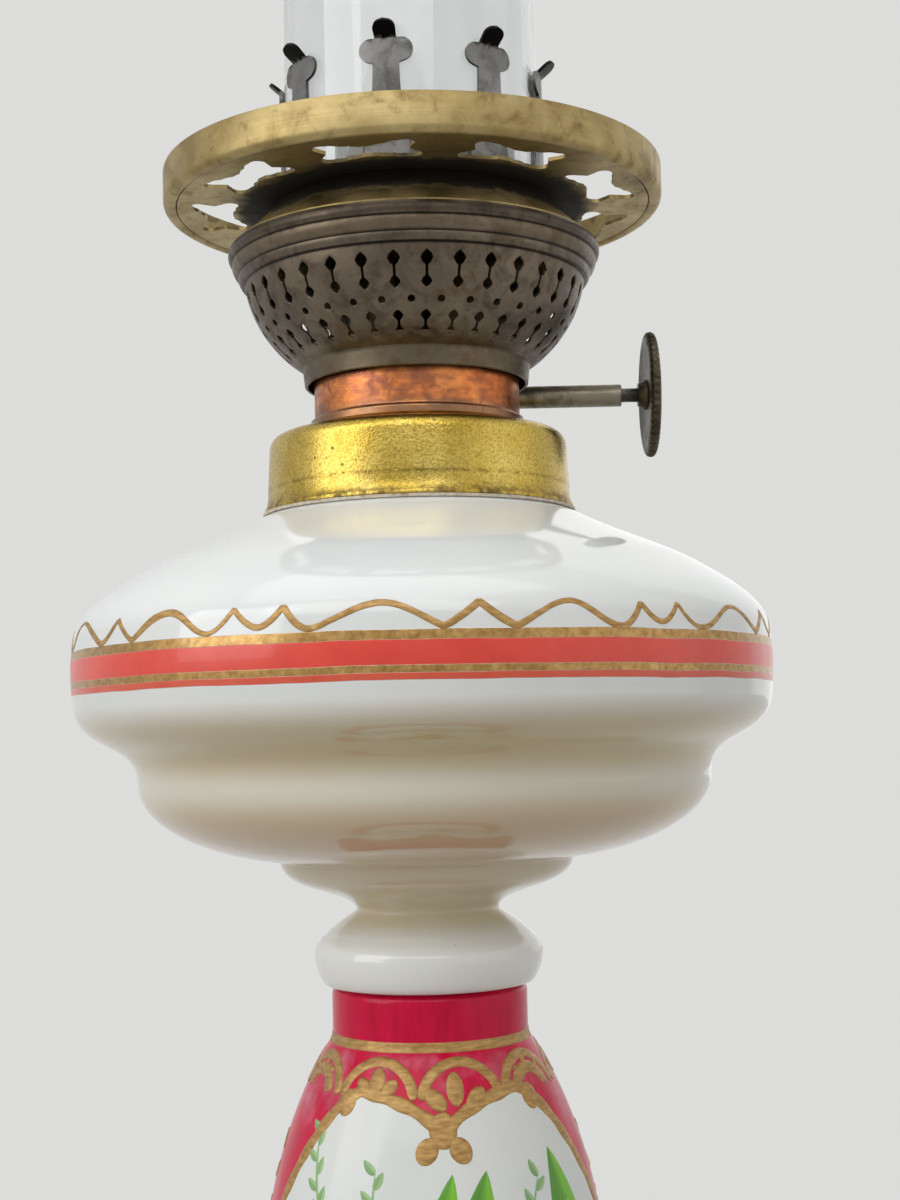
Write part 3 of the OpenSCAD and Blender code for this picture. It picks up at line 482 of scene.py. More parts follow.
# scallop line: one repeat is a wide arch, a pointed peak, another wide arch and a pair of peaks with a
# dip between; an arch falls as a sine to a sharp foot beside the single peak and as a cosine to a round
# trough beside the pair
def scallopHeights(s, angle):
    u = (angle - s["turn"]) / 360 * s["repeats"] % 1
    part = np.clip(np.searchsorted(s["stops"], u, side="right") - 1, 0, 3)
    start, end = np.take(s["stops"], part), np.take(s["stops"], part + 1)
    t = (u - start) / (end - start)
    side = np.where(part == 0, t, 1 - t)
    swell = np.where(side < 0.5, 0.5 - 0.5 * np.cos(2 * np.pi * side), np.sin(np.pi * side) ** 1.2)
    off = np.abs(2 * t - 1)
    arch = s["low"] + (s["arch"] - s["low"]) * swell
    peak = s["low"] + (s["peak"] - s["low"]) * (1 - off) ** 1.3
    base = np.where(off < 0.5, s["dip"], s["low"])
    pair = base + (s["peak"] - base) * (1 - np.abs(2 * off - 1)) ** 1.8
    return np.choose(part, [arch, peak, arch, pair])


turn = np.linspace(0, 360, scallop["points"], endpoint=False)
hand = np.random.default_rng(7)
shake = np.interp(turn, np.linspace(0, 360, 61), np.append(hand.normal(0, 1, 60), 0))
scallopLine = {"angle": turn, "z": scallopHeights(scallop, turn + 0.5 * shake) + 0.15 * shake,
               "closed": True, "half": scallop["half"] * (1 + 0.22 * np.roll(shake, 97)),
               "rise": scallop["rise"]}
makeStrokes("font_scallop_line", bowlWall, [scallopLine], gilding)
print("font done")

# foot ornament: two white panels with double-arched heads, lunettes under the neck ring, leaves and
# sprigs in the panels; places are (angle in degrees, height), lobes are (angle, height, length, half
# width, lean)
panel = {"middle": 5.0, "drop": (0, 130.4), "apex": (37, 138.2), "side": (77, 108), "foot": (58, 74),
         "base": (0, 66), "half": 1.25, "rise": 0.18, "up": 5.0, "points": 420}
fields = {"neckZ": 144, "beadTop": 60, "beadZ": 52, "beadHalf": 2.0, "stemTop": 45, "rimTop": 13,
          "far": 5.0, "pale": (130.0, 145.2)}
lunette = {"count": 9, "first": 14.5, "z": 137.3, "r": 8.0, "inner": 4.7, "flat": 0.76, "half": 1.05,
           "innerHalf": 1.3, "rise": 0.17}
lobes = {"panel": ((-6.4, 128.3, 5.0, 2.1, 30), (6.4, 128.3, 5.0, 2.1, -30), (0, 131.8, 6.4, 2.7),
                   (-44, 136.0, 4.8, 2.1), (44, 136.0, 4.8, 2.1), (6.5, 138.7, 6.0, 1.7),
                   (-2.5, 137.0, 5.6, 1.6, -50), (15.5, 136.9, 5.6, 1.6, 48)),
         "lunette": ((0, 140.0, 4.8, 1.6), (-6.6, 139.0, 4.2, 1.4, -50), (6.6, 139.0, 4.2, 1.4, 50)),
         "small": ((-8, 140.82, 1.9, 0.7, -48), (0, 142.1, 1.9, 0.7), (8, 140.82, 1.9, 0.7, 48)),
         "chain": (126, 120, 113, 105, 96), "link": (4.6, 1.0)}
ringLines = ((145.9, 0.95), (58.5, 0.9), (52.6, 0.7), (44.6, 0.8), (13.2, 0.9), (8.0, 0.6))
mmPerDegree = 0.52


def panelEdge(p):
    right = outline(
        p["drop"], ((4, 134.6), (19, 137.2), p["apex"], 30), ((50, 136.5), (62, 128), p["side"], 30),
        ((84, 94), (78, 82), p["foot"], 26), ((40, 68), (16, 73), p["base"], 26))
    return outline(right, right[-2:0:-1] * [-1, 1])


def fromPanel(angle):
    return (angle - panel["middle"] + 90) % 180 - 90


# signed distance in mm from points (angle, z) to a closed outline on the foot, positive outside
def outsideOf(edge, angle, z):
    px, py = angle * mmPerDegree, z
    a = edge * [mmPerDegree, 1]
    inside, best = np.zeros(px.shape, bool), np.full(px.shape, 1e9)
    for (ax, ay), (bx, by) in zip(a, np.roll(a, -1, 0)):
        dx, dy = bx - ax, by - ay
        t = np.clip(((px - ax) * dx + (py - ay) * dy) / (dx ** 2 + dy ** 2 + 1e-12), 0, 1)
        best = np.minimum(best, np.hypot(px - ax - t * dx, py - ay - t * dy))
        inside ^= ((ay > py) != (by > py)) & (px < dx * (py - ay) / (dy + 1e-12) + ax)
    return np.where(inside, -best, best)


footWall = footOutside(foot)
risingWall = footWall[footWall[:, 1].argsort(kind="stable")]
edge = panelEdge(panel)
shell = turned(outline(footWall, footInside(foot)[::-1]), foot["segments"])
x, y, z = shell[0].T
outside = outsideOf(edge, fromPanel(np.degrees(np.arctan2(x, -y))), z)
outside = np.where(z < fields["beadTop"], fields["beadHalf"] - np.abs(z - fields["beadZ"]), outside)
outside = np.where(z < fields["stemTop"], np.where(z < fields["rimTop"], fields["far"], -fields["far"]),
                   outside)
outside = np.where(z > fields["neckZ"], fields["far"], outside)
marks = {"outside": outside, "pale": np.minimum(z - fields["pale"][0], fields["pale"][1] - z)}
makePiece("foot_glass", shell, groundFinish(), "lamp_base", ["foot"], marks=marks,
          sharp=50)


def ringLine(z, half, points=240, rise=0.16):
    a = np.linspace(0, 360, points, endpoint=False)
    return {"angle": a, "z": np.full(points, float(z)), "half": half, "rise": rise, "closed": True}


# lobe: a short stroke with the half width of an ellipse along it
def lobe(angle, z, length, half, lean=0.0, rise=0.2, points=15):
    s = np.sin(np.linspace(-1, 1, points) * np.pi / 2)
    lean = math.radians(lean)
    return {"angle": angle + math.sin(lean) * s * length / 2 / mmPerDegree,
            "z": z + math.cos(lean) * s * length / 2,
            "half": half * np.sqrt(np.clip(1 - s ** 2, 0, 1)) + 1e-4, "rise": rise}


# arch: half an ellipse over a point, thinned to nothing at its ends and where it would cross into a white
# panel
def archLine(angle, z, r, half, rise, points=48):
    a = np.radians(np.linspace(-95, 95, points))
    turnTo, up = angle + r * np.sin(a) / (mmPerDegree * 0.86), z + lunette["flat"] * r * np.cos(a)
    taper = np.clip(np.minimum(np.arange(points), np.arange(points)[::-1]) / 3, 0, 1) ** 0.5
    clear = outsideOf(edge, fromPanel(turnTo), up)
    return {"angle": turnTo, "z": up, "half": half * taper * np.clip((clear + 0.9) / 0.6, 0, 1) + 1e-4,
            "rise": rise}


goldLines = [ringLine(*ring) for ring in ringLines]
at, even = evenLoop(edge, panel["points"], (mmPerDegree, 1))
for face in (0, 180):
    middle = panel["middle"] + face
    goldLines.append({"angle": middle + even[:, 0], "z": even[:, 1], "closed": True,
                      "half": panel["half"] * (1 + 0.12 * np.sin(at * 0.9)), "rise": panel["rise"]})
    goldLines += [lobe(middle + a, *rest) for a, *rest in lobes["panel"]]
    for side in (-1, 1):
        for k, height in enumerate(lobes["chain"]):
            goldLines.append(lobe(middle + side * 90, height, *lobes["link"], 40 * (1 if k % 2 else -1)))
for k in range(lunette["count"]):
    a = lunette["first"] + k * 360 / lunette["count"]
    goldLines.append(archLine(a, lunette["z"], lunette["r"], lunette["half"], lunette["rise"]))
    if k % 2:
        goldLines.append(archLine(a, lunette["z"], lunette["inner"], lunette["innerHalf"],
                                  lunette["rise"]))
    if k % 2 or abs(fromPanel(a)) > 20:
        goldLines += [lobe(a + d, *rest) for d, *rest in lobes["small" if k % 2 else "lunette"]]
makeStrokes("foot_gilding", risingWall, goldLines, gilding)


# leaf: a bent midrib with half width going as sin^0.8 of the length, pointed at its tip
def leaf(angle, z, length, half, lean, bend=0.0, tone=0.0, rise=0.12, points=24):
    t = np.linspace(0, 1, points)
    lean = np.radians(lean + bend * t)
    s = np.full(points, length / (points - 1))
    s[0] = 0
    return {"angle": angle + np.cumsum(s * np.sin(lean)) / mmPerDegree,
            "z": z + np.cumsum(s * np.cos(lean)), "half": half * np.sin(np.pi * t ** 0.8) ** 0.8 + 1e-4,
            "rise": rise, "tone": tone}


# leaves are (angle, height, length, half width, lean, bend), stems (angle, height, lean), flowers (angle,
# height)
bouquet = {"leaves": ((-47, 84, 30, 4.6, -14, 20), (-30, 80, 33, 4.2, 10, -16), (-9, 82, 38, 4.8, 4, 10),
                      (9, 86, 34, 5.0, -6, 22), (27, 80, 36, 4.6, 12, 14), (46, 84, 38, 5.2, 6, -14),
                      (60, 88, 24, 3.8, 24, 16), (-62, 90, 22, 3.6, -20, -18),
                      (-20, 74, 20, 4.4, -50, 30), (18, 73, 21, 4.4, 52, -30)),
           "stems": ((-23, 101, -10), (24, 100, 14), (-44, 108, -24)),
           "flowers": ((-38, 92), (0, 96), (37, 93))}
leaves, sprigs, petals = [], [], []
for face in (0, 180):
    middle = panel["middle"] + face
    for a, h, *rest in bouquet["leaves"]:
        leaves.append(leaf(middle + a, h + panel["up"], *rest, tone=0.75 * hand.random()))
    for a, h, lean in bouquet["stems"]:
        stem = leaf(middle + a, h + panel["up"], length=20, half=0.32, lean=lean, bend=12, tone=0.2,
                    rise=0.08)
        sprigs.append(stem)
        for k in range(3, 22, 3):
            side = -1 if k % 2 else 1
            where = stem["angle"][k], stem["z"][k]
            sprigs.append(leaf(*where, length=3.6, half=0.85, lean=lean + side * 42, bend=-side * 10,
                               tone=0.5 * hand.random(), rise=0.08, points=12))
    for a, h in bouquet["flowers"]:
        for k in range(5):
            petals.append(leaf(middle + a, h, length=5.4, half=2.3, lean=72 * k + 18,
                               tone=0.6 * hand.random(), rise=0.14, points=14))
        sprigs.append(lobe(middle + a, h, length=2.2, half=1.1, rise=0.3))
leafGreen = enamelFinish("leaf_enamel", (38, 112, 30), (132, 204, 46), (34, 92, 30))
sprigGreen = enamelFinish("sprig_enamel", (110, 160, 90), (164, 200, 140), (96, 140, 80))
petalRose = enamelFinish("petal_enamel", (196, 70, 84), (238, 176, 176), (206, 96, 104))
makeStrokes("foot_leaves", risingWall, leaves, leafGreen)
makeStrokes("foot_sprigs", risingWall, sprigs, sprigGreen)
makeStrokes("foot_petals", risingWall, petals, petalRose)
print("foot done")

collar = {"r": 31.1, "low": 251.4, "top": 267.5, "lip": 268.6, "wall": 0.8, "screwR": 21.0, "screwL": 9.5}
bedding = {"gap": 0.05, "lineR": 32.2, "r": 29.7, "topR": 29.5, "top": 263.0, "pegR": 15.2,
           "pegLow": 139.0, "pegTop": 155.5}


def plasterFinish():
    f = Finish("plaster")
    clump = f.noise(900, 5, 0.65)
    colour = f.mix(f.span(clump, 0.35, 0.65), (188, 174, 150), (222, 214, 198))
    colour = f.mix(f.cloud(300, 3, 0.6, 0.75), colour, (150, 132, 104))
    return f.set(Base_Color=colour, Roughness=f.span(clump, 0.3, 0.7, 0.75, 0.95),
                 Normal=f.bump(clump, 0.0002))


# groove of the collar and its darkening towards the bottom over the flare, by height in mm, the groove
# with its width of edge
giltMarks = {"groove": (255.7, 256.3, 0.25), "flareDark": (255.0, 251.6)}


def giltFinish():
    f = metalFinish("gilt_brass", (184, 156, 66), (212, 188, 104), (120, 94, 34), rough=(0.22, 0.34),
                    tarnishShare=(0.6, 0.78), grain=0.00003, lines=0.1)
    height = f.heightInMm()
    peel = f.noise(2300, 2, 0.5)
    groove = f.times(f.between(height, *giltMarks["groove"]), f.cloud(500, 4, 0.4, 0.6))
    # the collar darker towards its bottom edge over the flare
    flareDark = f.times(f.span(height, *giltMarks["flareDark"], smooth=True),
                    f.cloud(360, 5, 0.42, 0.6, rough=0.7))
    pits = f.times(f.span(f.cells(420), 0.16, 0.1), f.cloud(130, 3, 0.55, 0.62))
    colour = f.mix(f.span(peel, 0.4, 0.66, 0.0, 0.6), f.colour, (132, 104, 28))
    colour = f.wash(colour, (92, 72, 34), groove, 0.6)
    colour = f.wash(colour, (78, 62, 40), flareDark, 0.8)
    colour = f.wash(colour, (70, 54, 28), pits, 0.7)
    f.set(Base_Color=colour, Roughness=f.plus(f.worn, f.times(flareDark, 0.25)))
    return f.set(Normal=f.bump(f.plus(peel, f.times(pits, -0.6)), 0.00006))


def collarProfile(c):
    r, low, top, lip, wall, screw = c["r"], c["low"], c["top"], c["lip"], c["wall"], c["screwR"]
    end = lip - c["screwL"]
    return outline(
        (r + 0.5, low), (r + 0.7, low + 0.2), (r + 0.7, low + 0.8),
        ((r + 0.1, low + 1.6), (r, low + 3), (r, low + 5)), (r - 0.4, top - 3),
        ((r - 0.5, top - 1.2), (r - 1.5, top - 0.3), (r - 3.3, top)), (screw + 2.4, top + 0.3),
        ((screw + 1.8, top + 0.5), (screw + 1.5, lip), (screw + 0.7, lip), 6), (screw, lip - 0.3),
        (screw, end), (screw + 0.7, end), (screw + 0.7, top - wall), (r - 3.7, top - wall),
        (r - wall - 1.2, top - 2.2), (r - wall - 0.5, top - 4), (r - wall, low + 4), (r - 0.1, low))


def collarBed(b):
    inner, low = font["neckR"] + b["gap"], font["ledgeZ"]
    return outline((inner, low), (b["lineR"], low), (b["lineR"], collar["low"]), (b["r"], collar["low"]),
                   (b["topR"], b["top"]), (inner, b["top"]))


def pegBed(b):
    inner = font["pegR"] + b["gap"]
    return outline((inner, b["pegLow"]), (b["pegR"], b["pegLow"]), (b["pegR"], b["pegTop"]),
                   (inner, b["pegTop"]))


plaster = plasterFinish()
makePiece("collar_sheet", turned(collarProfile(collar)), giltFinish(), "lamp_base", ["collar"],
          sharp=40)
makePiece("collar_bedding", turned(collarBed(bedding)), plaster, "lamp_base", ["collar_plaster"])
makePiece("peg_bedding", turned(pegBed(bedding), 96), plaster, "lamp_base", ["foot_plaster"])
print("collar done")

burner = {"flangeZ": 268.7, "flangeR": 22.2, "cupR": 21.25, "floorZ": 271.0, "topZ": 283.5, "sheet": 0.6,
          "skirtR": 20.7, "skirtL": 9.2, "boreR": 14.4, "deckIn": 14.35, "deckOut": 20.6, "deckZ": 282.8}


def copperFinish():
    f = metalFinish("coppered_brass", (190, 104, 54), (222, 142, 82), (116, 70, 56), rough=(0.28, 0.46),
                    tarnishShare=(0.46, 0.7), grain=0.00003, lines=0.25)
    stain = f.span(f.noise(130, 4, 0.6, f.stretched(1, 1, 2.2)), 0.45, 0.62)
    colour = f.wash(f.colour, (112, 70, 62), stain, 0.7)
    return f.set(Base_Color=f.mix(f.span(f.z, 0.2722, 0.2702, 0.0, 0.75), colour, (128, 104, 80)))


def cupSection(b):
    r, skirt, flange = b["cupR"], b["skirtR"], b["flangeR"]
    top, floor, z = b["topZ"], b["floorZ"], b["flangeZ"]
    t, low, bore = b["sheet"], z - b["skirtL"], b["boreR"]
    return outline(
        (skirt - t, low), (skirt, low), (skirt, z), (flange - 0.3, z), (flange, z + 0.3),
        (flange, z + 1.4), arc((flange - t, z + 1.4), t, 0, 90, 8),
        ((r + 0.15, floor - 0.3), (r, floor - 0.1), (r, floor + 0.4), 6), (r, top), (r - t, top),
        (r - t, floor), (bore, floor), (bore, floor - t), (skirt - t, floor - t))


def deckSection(b):
    low, high = b["deckZ"], b["deckZ"] + b["sheet"]
    return outline((b["deckIn"], low), (b["deckOut"], low), (b["deckOut"], high), (b["deckIn"], high))


burnerBrass = metalFinish("burner_brass", (88, 71, 44), (116, 96, 62), (52, 42, 28), rough=(0.4, 0.58))
makePiece("burner_cup_drum", turned(cupSection(burner)), copperFinish(), "burner", ["burner_cup"],
          sharp=40)
makePiece("deck_ring", turned(deckSection(burner)), burnerBrass, "burner", ["deck_plate"])

# tubes are (inner radius, outer radius, low, high); the windows have half widths in degrees, the slots in
# mm
tubes = {"outer": (13.7, 14.3, 262.7, 326.1), "inner": (10.2, 10.8, 273.0, 327.1),
         "windowZ": (285.95, 302.05), "outerWindow": 18.6, "innerWindow": 25.0, "slotX": 4.0,
         "slotHalf": 0.9, "slotR": 14.0, "slotZ": (274.6, 282.1), "capR": 10.15, "cap": 0.6}


# tube with windows: a grid of angle and height with lines on each window's edges, the quads inside the
# windows left out
def windowedTube(inner, outer, low, high, windows):
    sides = [np.array(w[:2]) % 360 for w in windows]
    a = np.unique(np.round(np.concatenate([np.arange(0, 360, 3.0), *sides]), 4))
    z = np.unique(np.concatenate([[low, high], *[np.clip(w[2:], low, high) for w in windows]]))
    points = np.concatenate([around(r, np.radians(a), z[:, None]) for r in (outer, inner)]).reshape(-1, 3)
    loop, count = len(a), len(a) * len(z)
    mid = (a + np.diff(np.append(a, a[0] + 360)) / 2) % 360
    midZ = (z[1:] + z[:-1]) / 2
    solid = np.ones((len(midZ), loop), bool)
    for start, end, bottom, top in windows:
        within = (mid - start) % 360 < (end - start) % 360
        solid &= ~(within[None] & ((midZ > bottom) & (midZ < top))[:, None])

    def at(row, column, layer=0):
        return row * loop + column % loop + layer * count

    i, j = np.nonzero(solid)
    skin = np.stack([at(i, j), at(i, j + 1), at(i + 1, j + 1), at(i + 1, j)], -1)
    faces = [skin, skin[:, ::-1] + count]
    grid, left = np.pad(solid, ((1, 1), (0, 0))), np.roll(solid, 1, 1)
    for ends, way in ((grid[1:] & ~grid[:-1], 1), (grid[:-1] & ~grid[1:], -1)):
        i, j = np.nonzero(ends)
        faces.append(np.stack([at(i, j), at(i, j, 1), at(i, j + 1, 1), at(i, j + 1)], -1)[:, ::way])
    for ends, way in ((solid & ~left, 1), (left & ~solid, -1)):
        i, j = np.nonzero(ends)
        faces.append(np.stack([at(i, j), at(i + 1, j), at(i + 1, j, 1), at(i, j, 1)], -1)[:, ::way])
    return points, np.vstack(faces)


def tubeWindows(t):
    half, off = (math.degrees(math.asin(t[key] / t["slotR"])) for key in ("slotHalf", "slotX"))
    slots = [(180 + side * off - half, 180 + side * off + half, *t["slotZ"]) for side in (-1, 1)]
    outer, inner = ((-t[key], t[key], *t["windowZ"]) for key in ("outerWindow", "innerWindow"))
    return [outer, *slots], [inner]


def capSection(t):
    r, low, high = t["capR"], t["inner"][2], t["inner"][2] + t["cap"]
    return outline((0, low), (r - 0.15, low), (r, low + 0.15), (r, high), (0, high))


outerWindows, innerWindows = tubeWindows(tubes)
makePiece("outer_tube", windowedTube(*tubes["outer"], outerWindows), burnerBrass, "burner",
          ["outer_wick_tube"])
makePiece("inner_tube", windowedTube(*tubes["inner"], innerWindows), burnerBrass, "burner",
          ["inner_air_tube"])
makePiece("tube_cap", turned(capSection(tubes), 96, closed=False), burnerBrass, "burner",
          ["air_tube_cap"])

chute = {"w": 4.5, "h": 8.0, "sheet": 0.6, "z": 294.0, "near": 15.15, "far": 9.35}


# chute: a rectangular duct whose two open ends follow the tubes, y = -sqrt(r^2 - x^2)
def chuteShell(c):
    rows = []
    for inset, r in ((0, c["near"]), (0, c["far"]), (c["sheet"], c["far"]), (c["sheet"], c["near"])):
        w, h = c["w"] - inset, c["h"] - inset
        x, z = evenRun(np.array([[-w, -h], [w, -h], [w, h], [-w, h], [-w, -h]]), (6, 6, 6, 6)).T
        rows.append(np.stack([x, -np.sqrt(r ** 2 - x ** 2), c["z"] + z], -1))
    return np.concatenate(rows), gridQuads(4, len(rows[0]), wrapRows=True)[:, ::-1]


makePiece("side_chute", chuteShell(chute), burnerBrass, "burner", ["air_chute"])

basket = {"columns": 34, "first": 5.0, "sheet": 0.6, "upper": (7.4, 2.5), "lower": (5.6, 2.0),
          "slot": 0.55, "pin": 1.5, "rows": (285.16, 288.97, 294.16), "foot": (23.9, 281.9),
          "top": (35.3, 299.0), "floorZ": 283.5, "floorIn": 16.8}
basketWall = outline(basket["foot"], ((27.5, 284), (33.8, 289.8), basket["top"], 60))
wallRun = runLength(basketWall)


# keyhole: two diamonds joined by a slot, walked clockwise from its top point
def keyhole(size, slot):
    h, w = size[0] / 2, size[1]
    s, low = slot / 2, 0.9 * w
    right = np.array([
        [0, h], [0.34 * w, h - 0.3 * w], [w / 2, h - 0.62 * w], [0.34 * w, h - 0.96 * w],
        [s, h - 1.2 * w], [s, 0], [s, 1.1 * low - h], [0.36 * low, 0.86 * low - h],
        [low / 2, 0.56 * low - h], [0.34 * low, 0.27 * low - h], [0, -h]])
    half = evenRun(right, (3, 3, 3, 3, 4, 4, 3, 3, 3, 3))
    return np.concatenate([half, [[0, -h]], half[:0:-1] * [-1, 1]])


# border of a cell, walked clockwise from the middle of its top edge
def cellBorder(w, low, high, n=16):
    corners = np.array([[0, high], [w, high], [w, low], [0, low], [-w, low], [-w, high], [0, high]])
    return evenRun(corners, (n // 2, n, n // 2, n // 2, n, n // 2))


# pierced cell: straight blend from the border to the hole on the face, down the hole's edge, and back
# under the sheet
def piercedCell(hole, border, sheet):
    shares = [1.0, 0.7, 0.4, 0.12, 0.0, 0.0, 0.12, 0.5, 1.0]
    depths = np.array([0, 0, 0, 0, 0.14, 0.86, 1, 1, 1]) * sheet
    flat = np.stack([hole * (1 - s) + border * s for s in shares])
    return flat, np.broadcast_to(depths[:, None], flat.shape[:2])


# basket: rows of pierced cells laid on the bowl by length along its wall, each row turned round the axis
# column by column
def basketShell(b):
    pitch, pin = 360 / b["columns"], b["pin"] / 2
    at = [np.interp(z, basketWall[:, 1], wallRun) for z in b["rows"]]
    lines = [0.0, (at[0] + b["lower"][0] / 2 + at[1] - pin) / 2,
             (at[1] + pin + at[2] - b["upper"][0] / 2) / 2, wallRun[-1]]
    circle = np.radians(90 - np.arange(64) * 360 / 64)
    pinHole = pin * np.stack([np.cos(circle), np.sin(circle)], -1)
    normal = outward(basketWall)
    shells = []
    for k, hole in enumerate((keyhole(b["lower"], b["slot"]), pinHole, keyhole(b["upper"], b["slot"]))):
        r = np.interp(at[k], wallRun, basketWall[:, 0])
        border = cellBorder(math.radians(pitch / 2) * r, lines[k] - at[k], lines[k + 1] - at[k])
        flat, depth = piercedCell(hole, border, b["sheet"])
        s = flat[..., 1] + at[k]
        columns = np.arange(b["columns"]) + 0.5 * (k == 1)
        turnTo = np.radians(b["first"] + pitch * columns)[:, None, None]
        rr, zz = (np.interp(s, wallRun, wall) - depth * np.interp(s, wallRun, way)
                  for wall, way in zip(basketWall.T, normal.T))
        points = around(rr, flat[None, ..., 0] / r + turnTo, zz)
        m, n = flat.shape[:2]
        atEnd = np.isclose(s[0], (0.0, -1.0, wallRun[-1])[k])
        ends = gridQuads(m, n, wrapRows=True)[-n:][atEnd & np.roll(atEnd, -1)]
        quads = np.vstack([gridQuads(m, n), ends])[:, ::-1]
        shells += [(cell.reshape(-1, 3), quads) for cell in points]
    return joined(*shells)


# bead lightened (wear with a painted highlight), grooves darkened (painted shade), a painted shade band
# on the lip and the pale foot of the basket, by height in mm and width of edge
bronzeMarks = {"bead": (301.3, 303.4, 0.25), "shade": (304.2, 306.4, 0.2), "foot": (282.6, 281.4),
               "grooves": ((300.8, 301.1, 0.12), (303.6, 303.9, 0.15), (298.8, 299.2, 0.15))}


def bronzeFinish():
    f = metalFinish("bronzed_brass", (88, 78, 67), (114, 102, 87), (60, 52, 44), rough=(0.36, 0.54),
                    tarnishShare=(0.46, 0.7), grain=0.00003, lines=0.2, metallic=0.9)
    height = f.heightInMm()
    # bead lighter: wear together with a painted highlight on the raised band
    worn = f.plus(f.times(f.cloud(240, 5, 0.5, 0.68, rough=0.7), 0.3),
                  f.times(f.between(height, *bronzeMarks["bead"]), 0.3))
    colour = f.mix(worn, f.colour, (122, 106, 84))
    # grooves darkened: painted shade in the moulding's recesses
    groove = 0.0
    for low, high, edge in bronzeMarks["grooves"]:
        groove = f.most(groove, f.between(height, low, high, edge))
    colour = f.wash(colour, (22, 18, 16), groove, 0.75)
    colour = f.wash(colour, (42, 36, 33), f.between(height, *bronzeMarks["shade"]), 0.4)
    colour = f.wash(colour, (98, 88, 70), f.span(height, *bronzeMarks["foot"]), 0.6)
    return f.set(Base_Color=f.wash(colour, (88, 60, 42), f.cloud(170, 4, 0.58, 0.7), 0.5))


# aged brass, black on the cone and on the inner part of the plate, by radius and height: soot together
# with painted shade under the plate
def agedFinish():
    f = metalFinish("aged_brass", (142, 122, 78), (176, 158, 112), (108, 90, 56), rough=(0.42, 0.58),
                    tarnishShare=(0.5, 0.74))
    split = f.add("ShaderNodeSeparateXYZ", {0: f.rings()}).outputs
    blur = f.cloud(200, 4, 0.3, 0.7, -0.0012, 0.0012, rough=0.6)
    inner = f.span(f.plus(split[0], blur), 0.0385, 0.0345, 0.0, 1.0, True)
    # soot and painted shade on the cone and the plate's inner part
    sootAndShade = f.times(inner, f.span(f.plus(split[2], blur), 0.3094, 0.3108))
    colour = f.wash(f.colour, (15, 12, 10), sootAndShade, 0.95)
    return f.set(Base_Color=colour, Metallic=f.span(sootAndShade, 0.0, 1.0, 1.0, 0.25),
                 Roughness=f.plus(f.worn, f.times(sootAndShade, 0.25)))


# moulded rim, plain foot band and floor ring of the basket
def basketBody(b):
    r, z = b["top"]
    rim = outline(
        (r - 0.7, z - 0.4), (r - 0.05, z - 0.3), (r, z),
        ((r + 0.3, z + 0.1), (r + 0.8, z + 0.1), (r + 0.9, z + 0.4), 5),
        ((r + 1.2, z + 0.9), (r + 1.45, z + 1.5), (r + 1.25, z + 1.9), 8),
        bow((r + 1.25, z + 2.0), (r + 2.1, z + 2.1), (r + 2.9, z + 3.8), (r + 2.5, z + 4.7), 12),
        bow((r + 2.5, z + 4.8), (r + 3.4, z + 4.8), (r + 3.65, z + 6.4), (r + 2.9, z + 7.3), 12),
        (r + 2.6, z + 7.4), (r + 1.2, z + 7.3), (r + 1.2, z + 4.9), (r - 0.6, z + 0.2))
    r, z = b["foot"]
    band = outline(
        (r - 1.3, z - 3.9), (r - 0.9, z - 3.95), (r - 0.7, z - 3.75), (r - 0.35, z - 0.7),
        ((r - 0.3, z - 0.4), (r - 0.3, z - 0.2), (r, z + 0.05), 5), (r - 0.15, z + 0.6),
        (r - 0.9, z - 0.2))
    z = b["floorZ"]
    floor = outline((b["floorIn"], z), (r + 2.0, z), (r + 2.6, z + b["sheet"]),
                    (b["floorIn"], z + b["sheet"]))
    return joined(turned(rim), turned(band), turned(floor))


bronze, brassAged = bronzeFinish(), agedFinish()
makePiece("basket_pierced_wall", basketShell(basket), bronze, "burner", ["basket"],
          sharp=32)
makePiece("basket_rim_and_band", basketBody(basket), bronze, "burner", ["basket"],
          sharp=32)

crown = {"lowR": 37.7, "lowZ": 306.3, "topR": 29.5, "topZ": 315.1, "boreR": 23.5, "sheet": 0.6}


def crownSection(c):
    r, low, top, topR, bore, t = c["lowR"], c["lowZ"], c["topZ"], c["topR"], c["boreR"], c["sheet"]
    return outline(
        (r - 2.4, low), (r - 0.1, low), (r, low + 0.2), (r, low + 0.5), (r - 0.2, low + 0.65),
        (r - 0.9, low + 0.65), (r - 1.2, low + 0.9), (topR, top - t),
        ((topR - 0.3, top - 0.2), (topR - 0.5, top), (topR - 0.9, top), 5), (bore, top), (bore, top - t),
        (topR - 1.1, top - t), (r - 2.4, low + t))


makePiece("crown_cone", turned(crownSection(crown)), brassAged, "burner", ["crown"],
          sharp=32)

gallery = {"rimR": 51.8, "rimTop": 322.5, "plateZ": 315.1, "t": 0.7, "plateIn": 27.05, "plateOut": 49.4,
           "holes": 9, "holeR": 40.55, "holeTurn": -11.0,
           "holeArcs": (((0, 0), 3.0), ((3.5, 0.9), 2.9), ((6.4, 2.2), 2.6), ((8.2, 3.3), 1.7)),
           "prongs": 8, "turn": -9.0, "prongR": 26.9, "prongH": 27.0, "neckHalf": 2.6, "flare": 2.9,
           "lobeX": 2.9, "lobeR": 2.4, "tipHalf": 2.1, "tipL": 4.0, "bendR": 0.5, "lean": 50.0}


# where two circles meet, on the right of the line from the first centre to the second
def meet(c0, r0, c1, r1):
    c0, c1 = np.array(c0, float), np.array(c1, float)
    d = np.linalg.norm(c1 - c0)
    a = (r0 ** 2 - r1 ** 2 + d ** 2) / (2 * d)
    along = (c1 - c0) / d
    return c0 + a * along + math.sqrt(r0 ** 2 - a ** 2) * np.array([along[1], -along[0]])


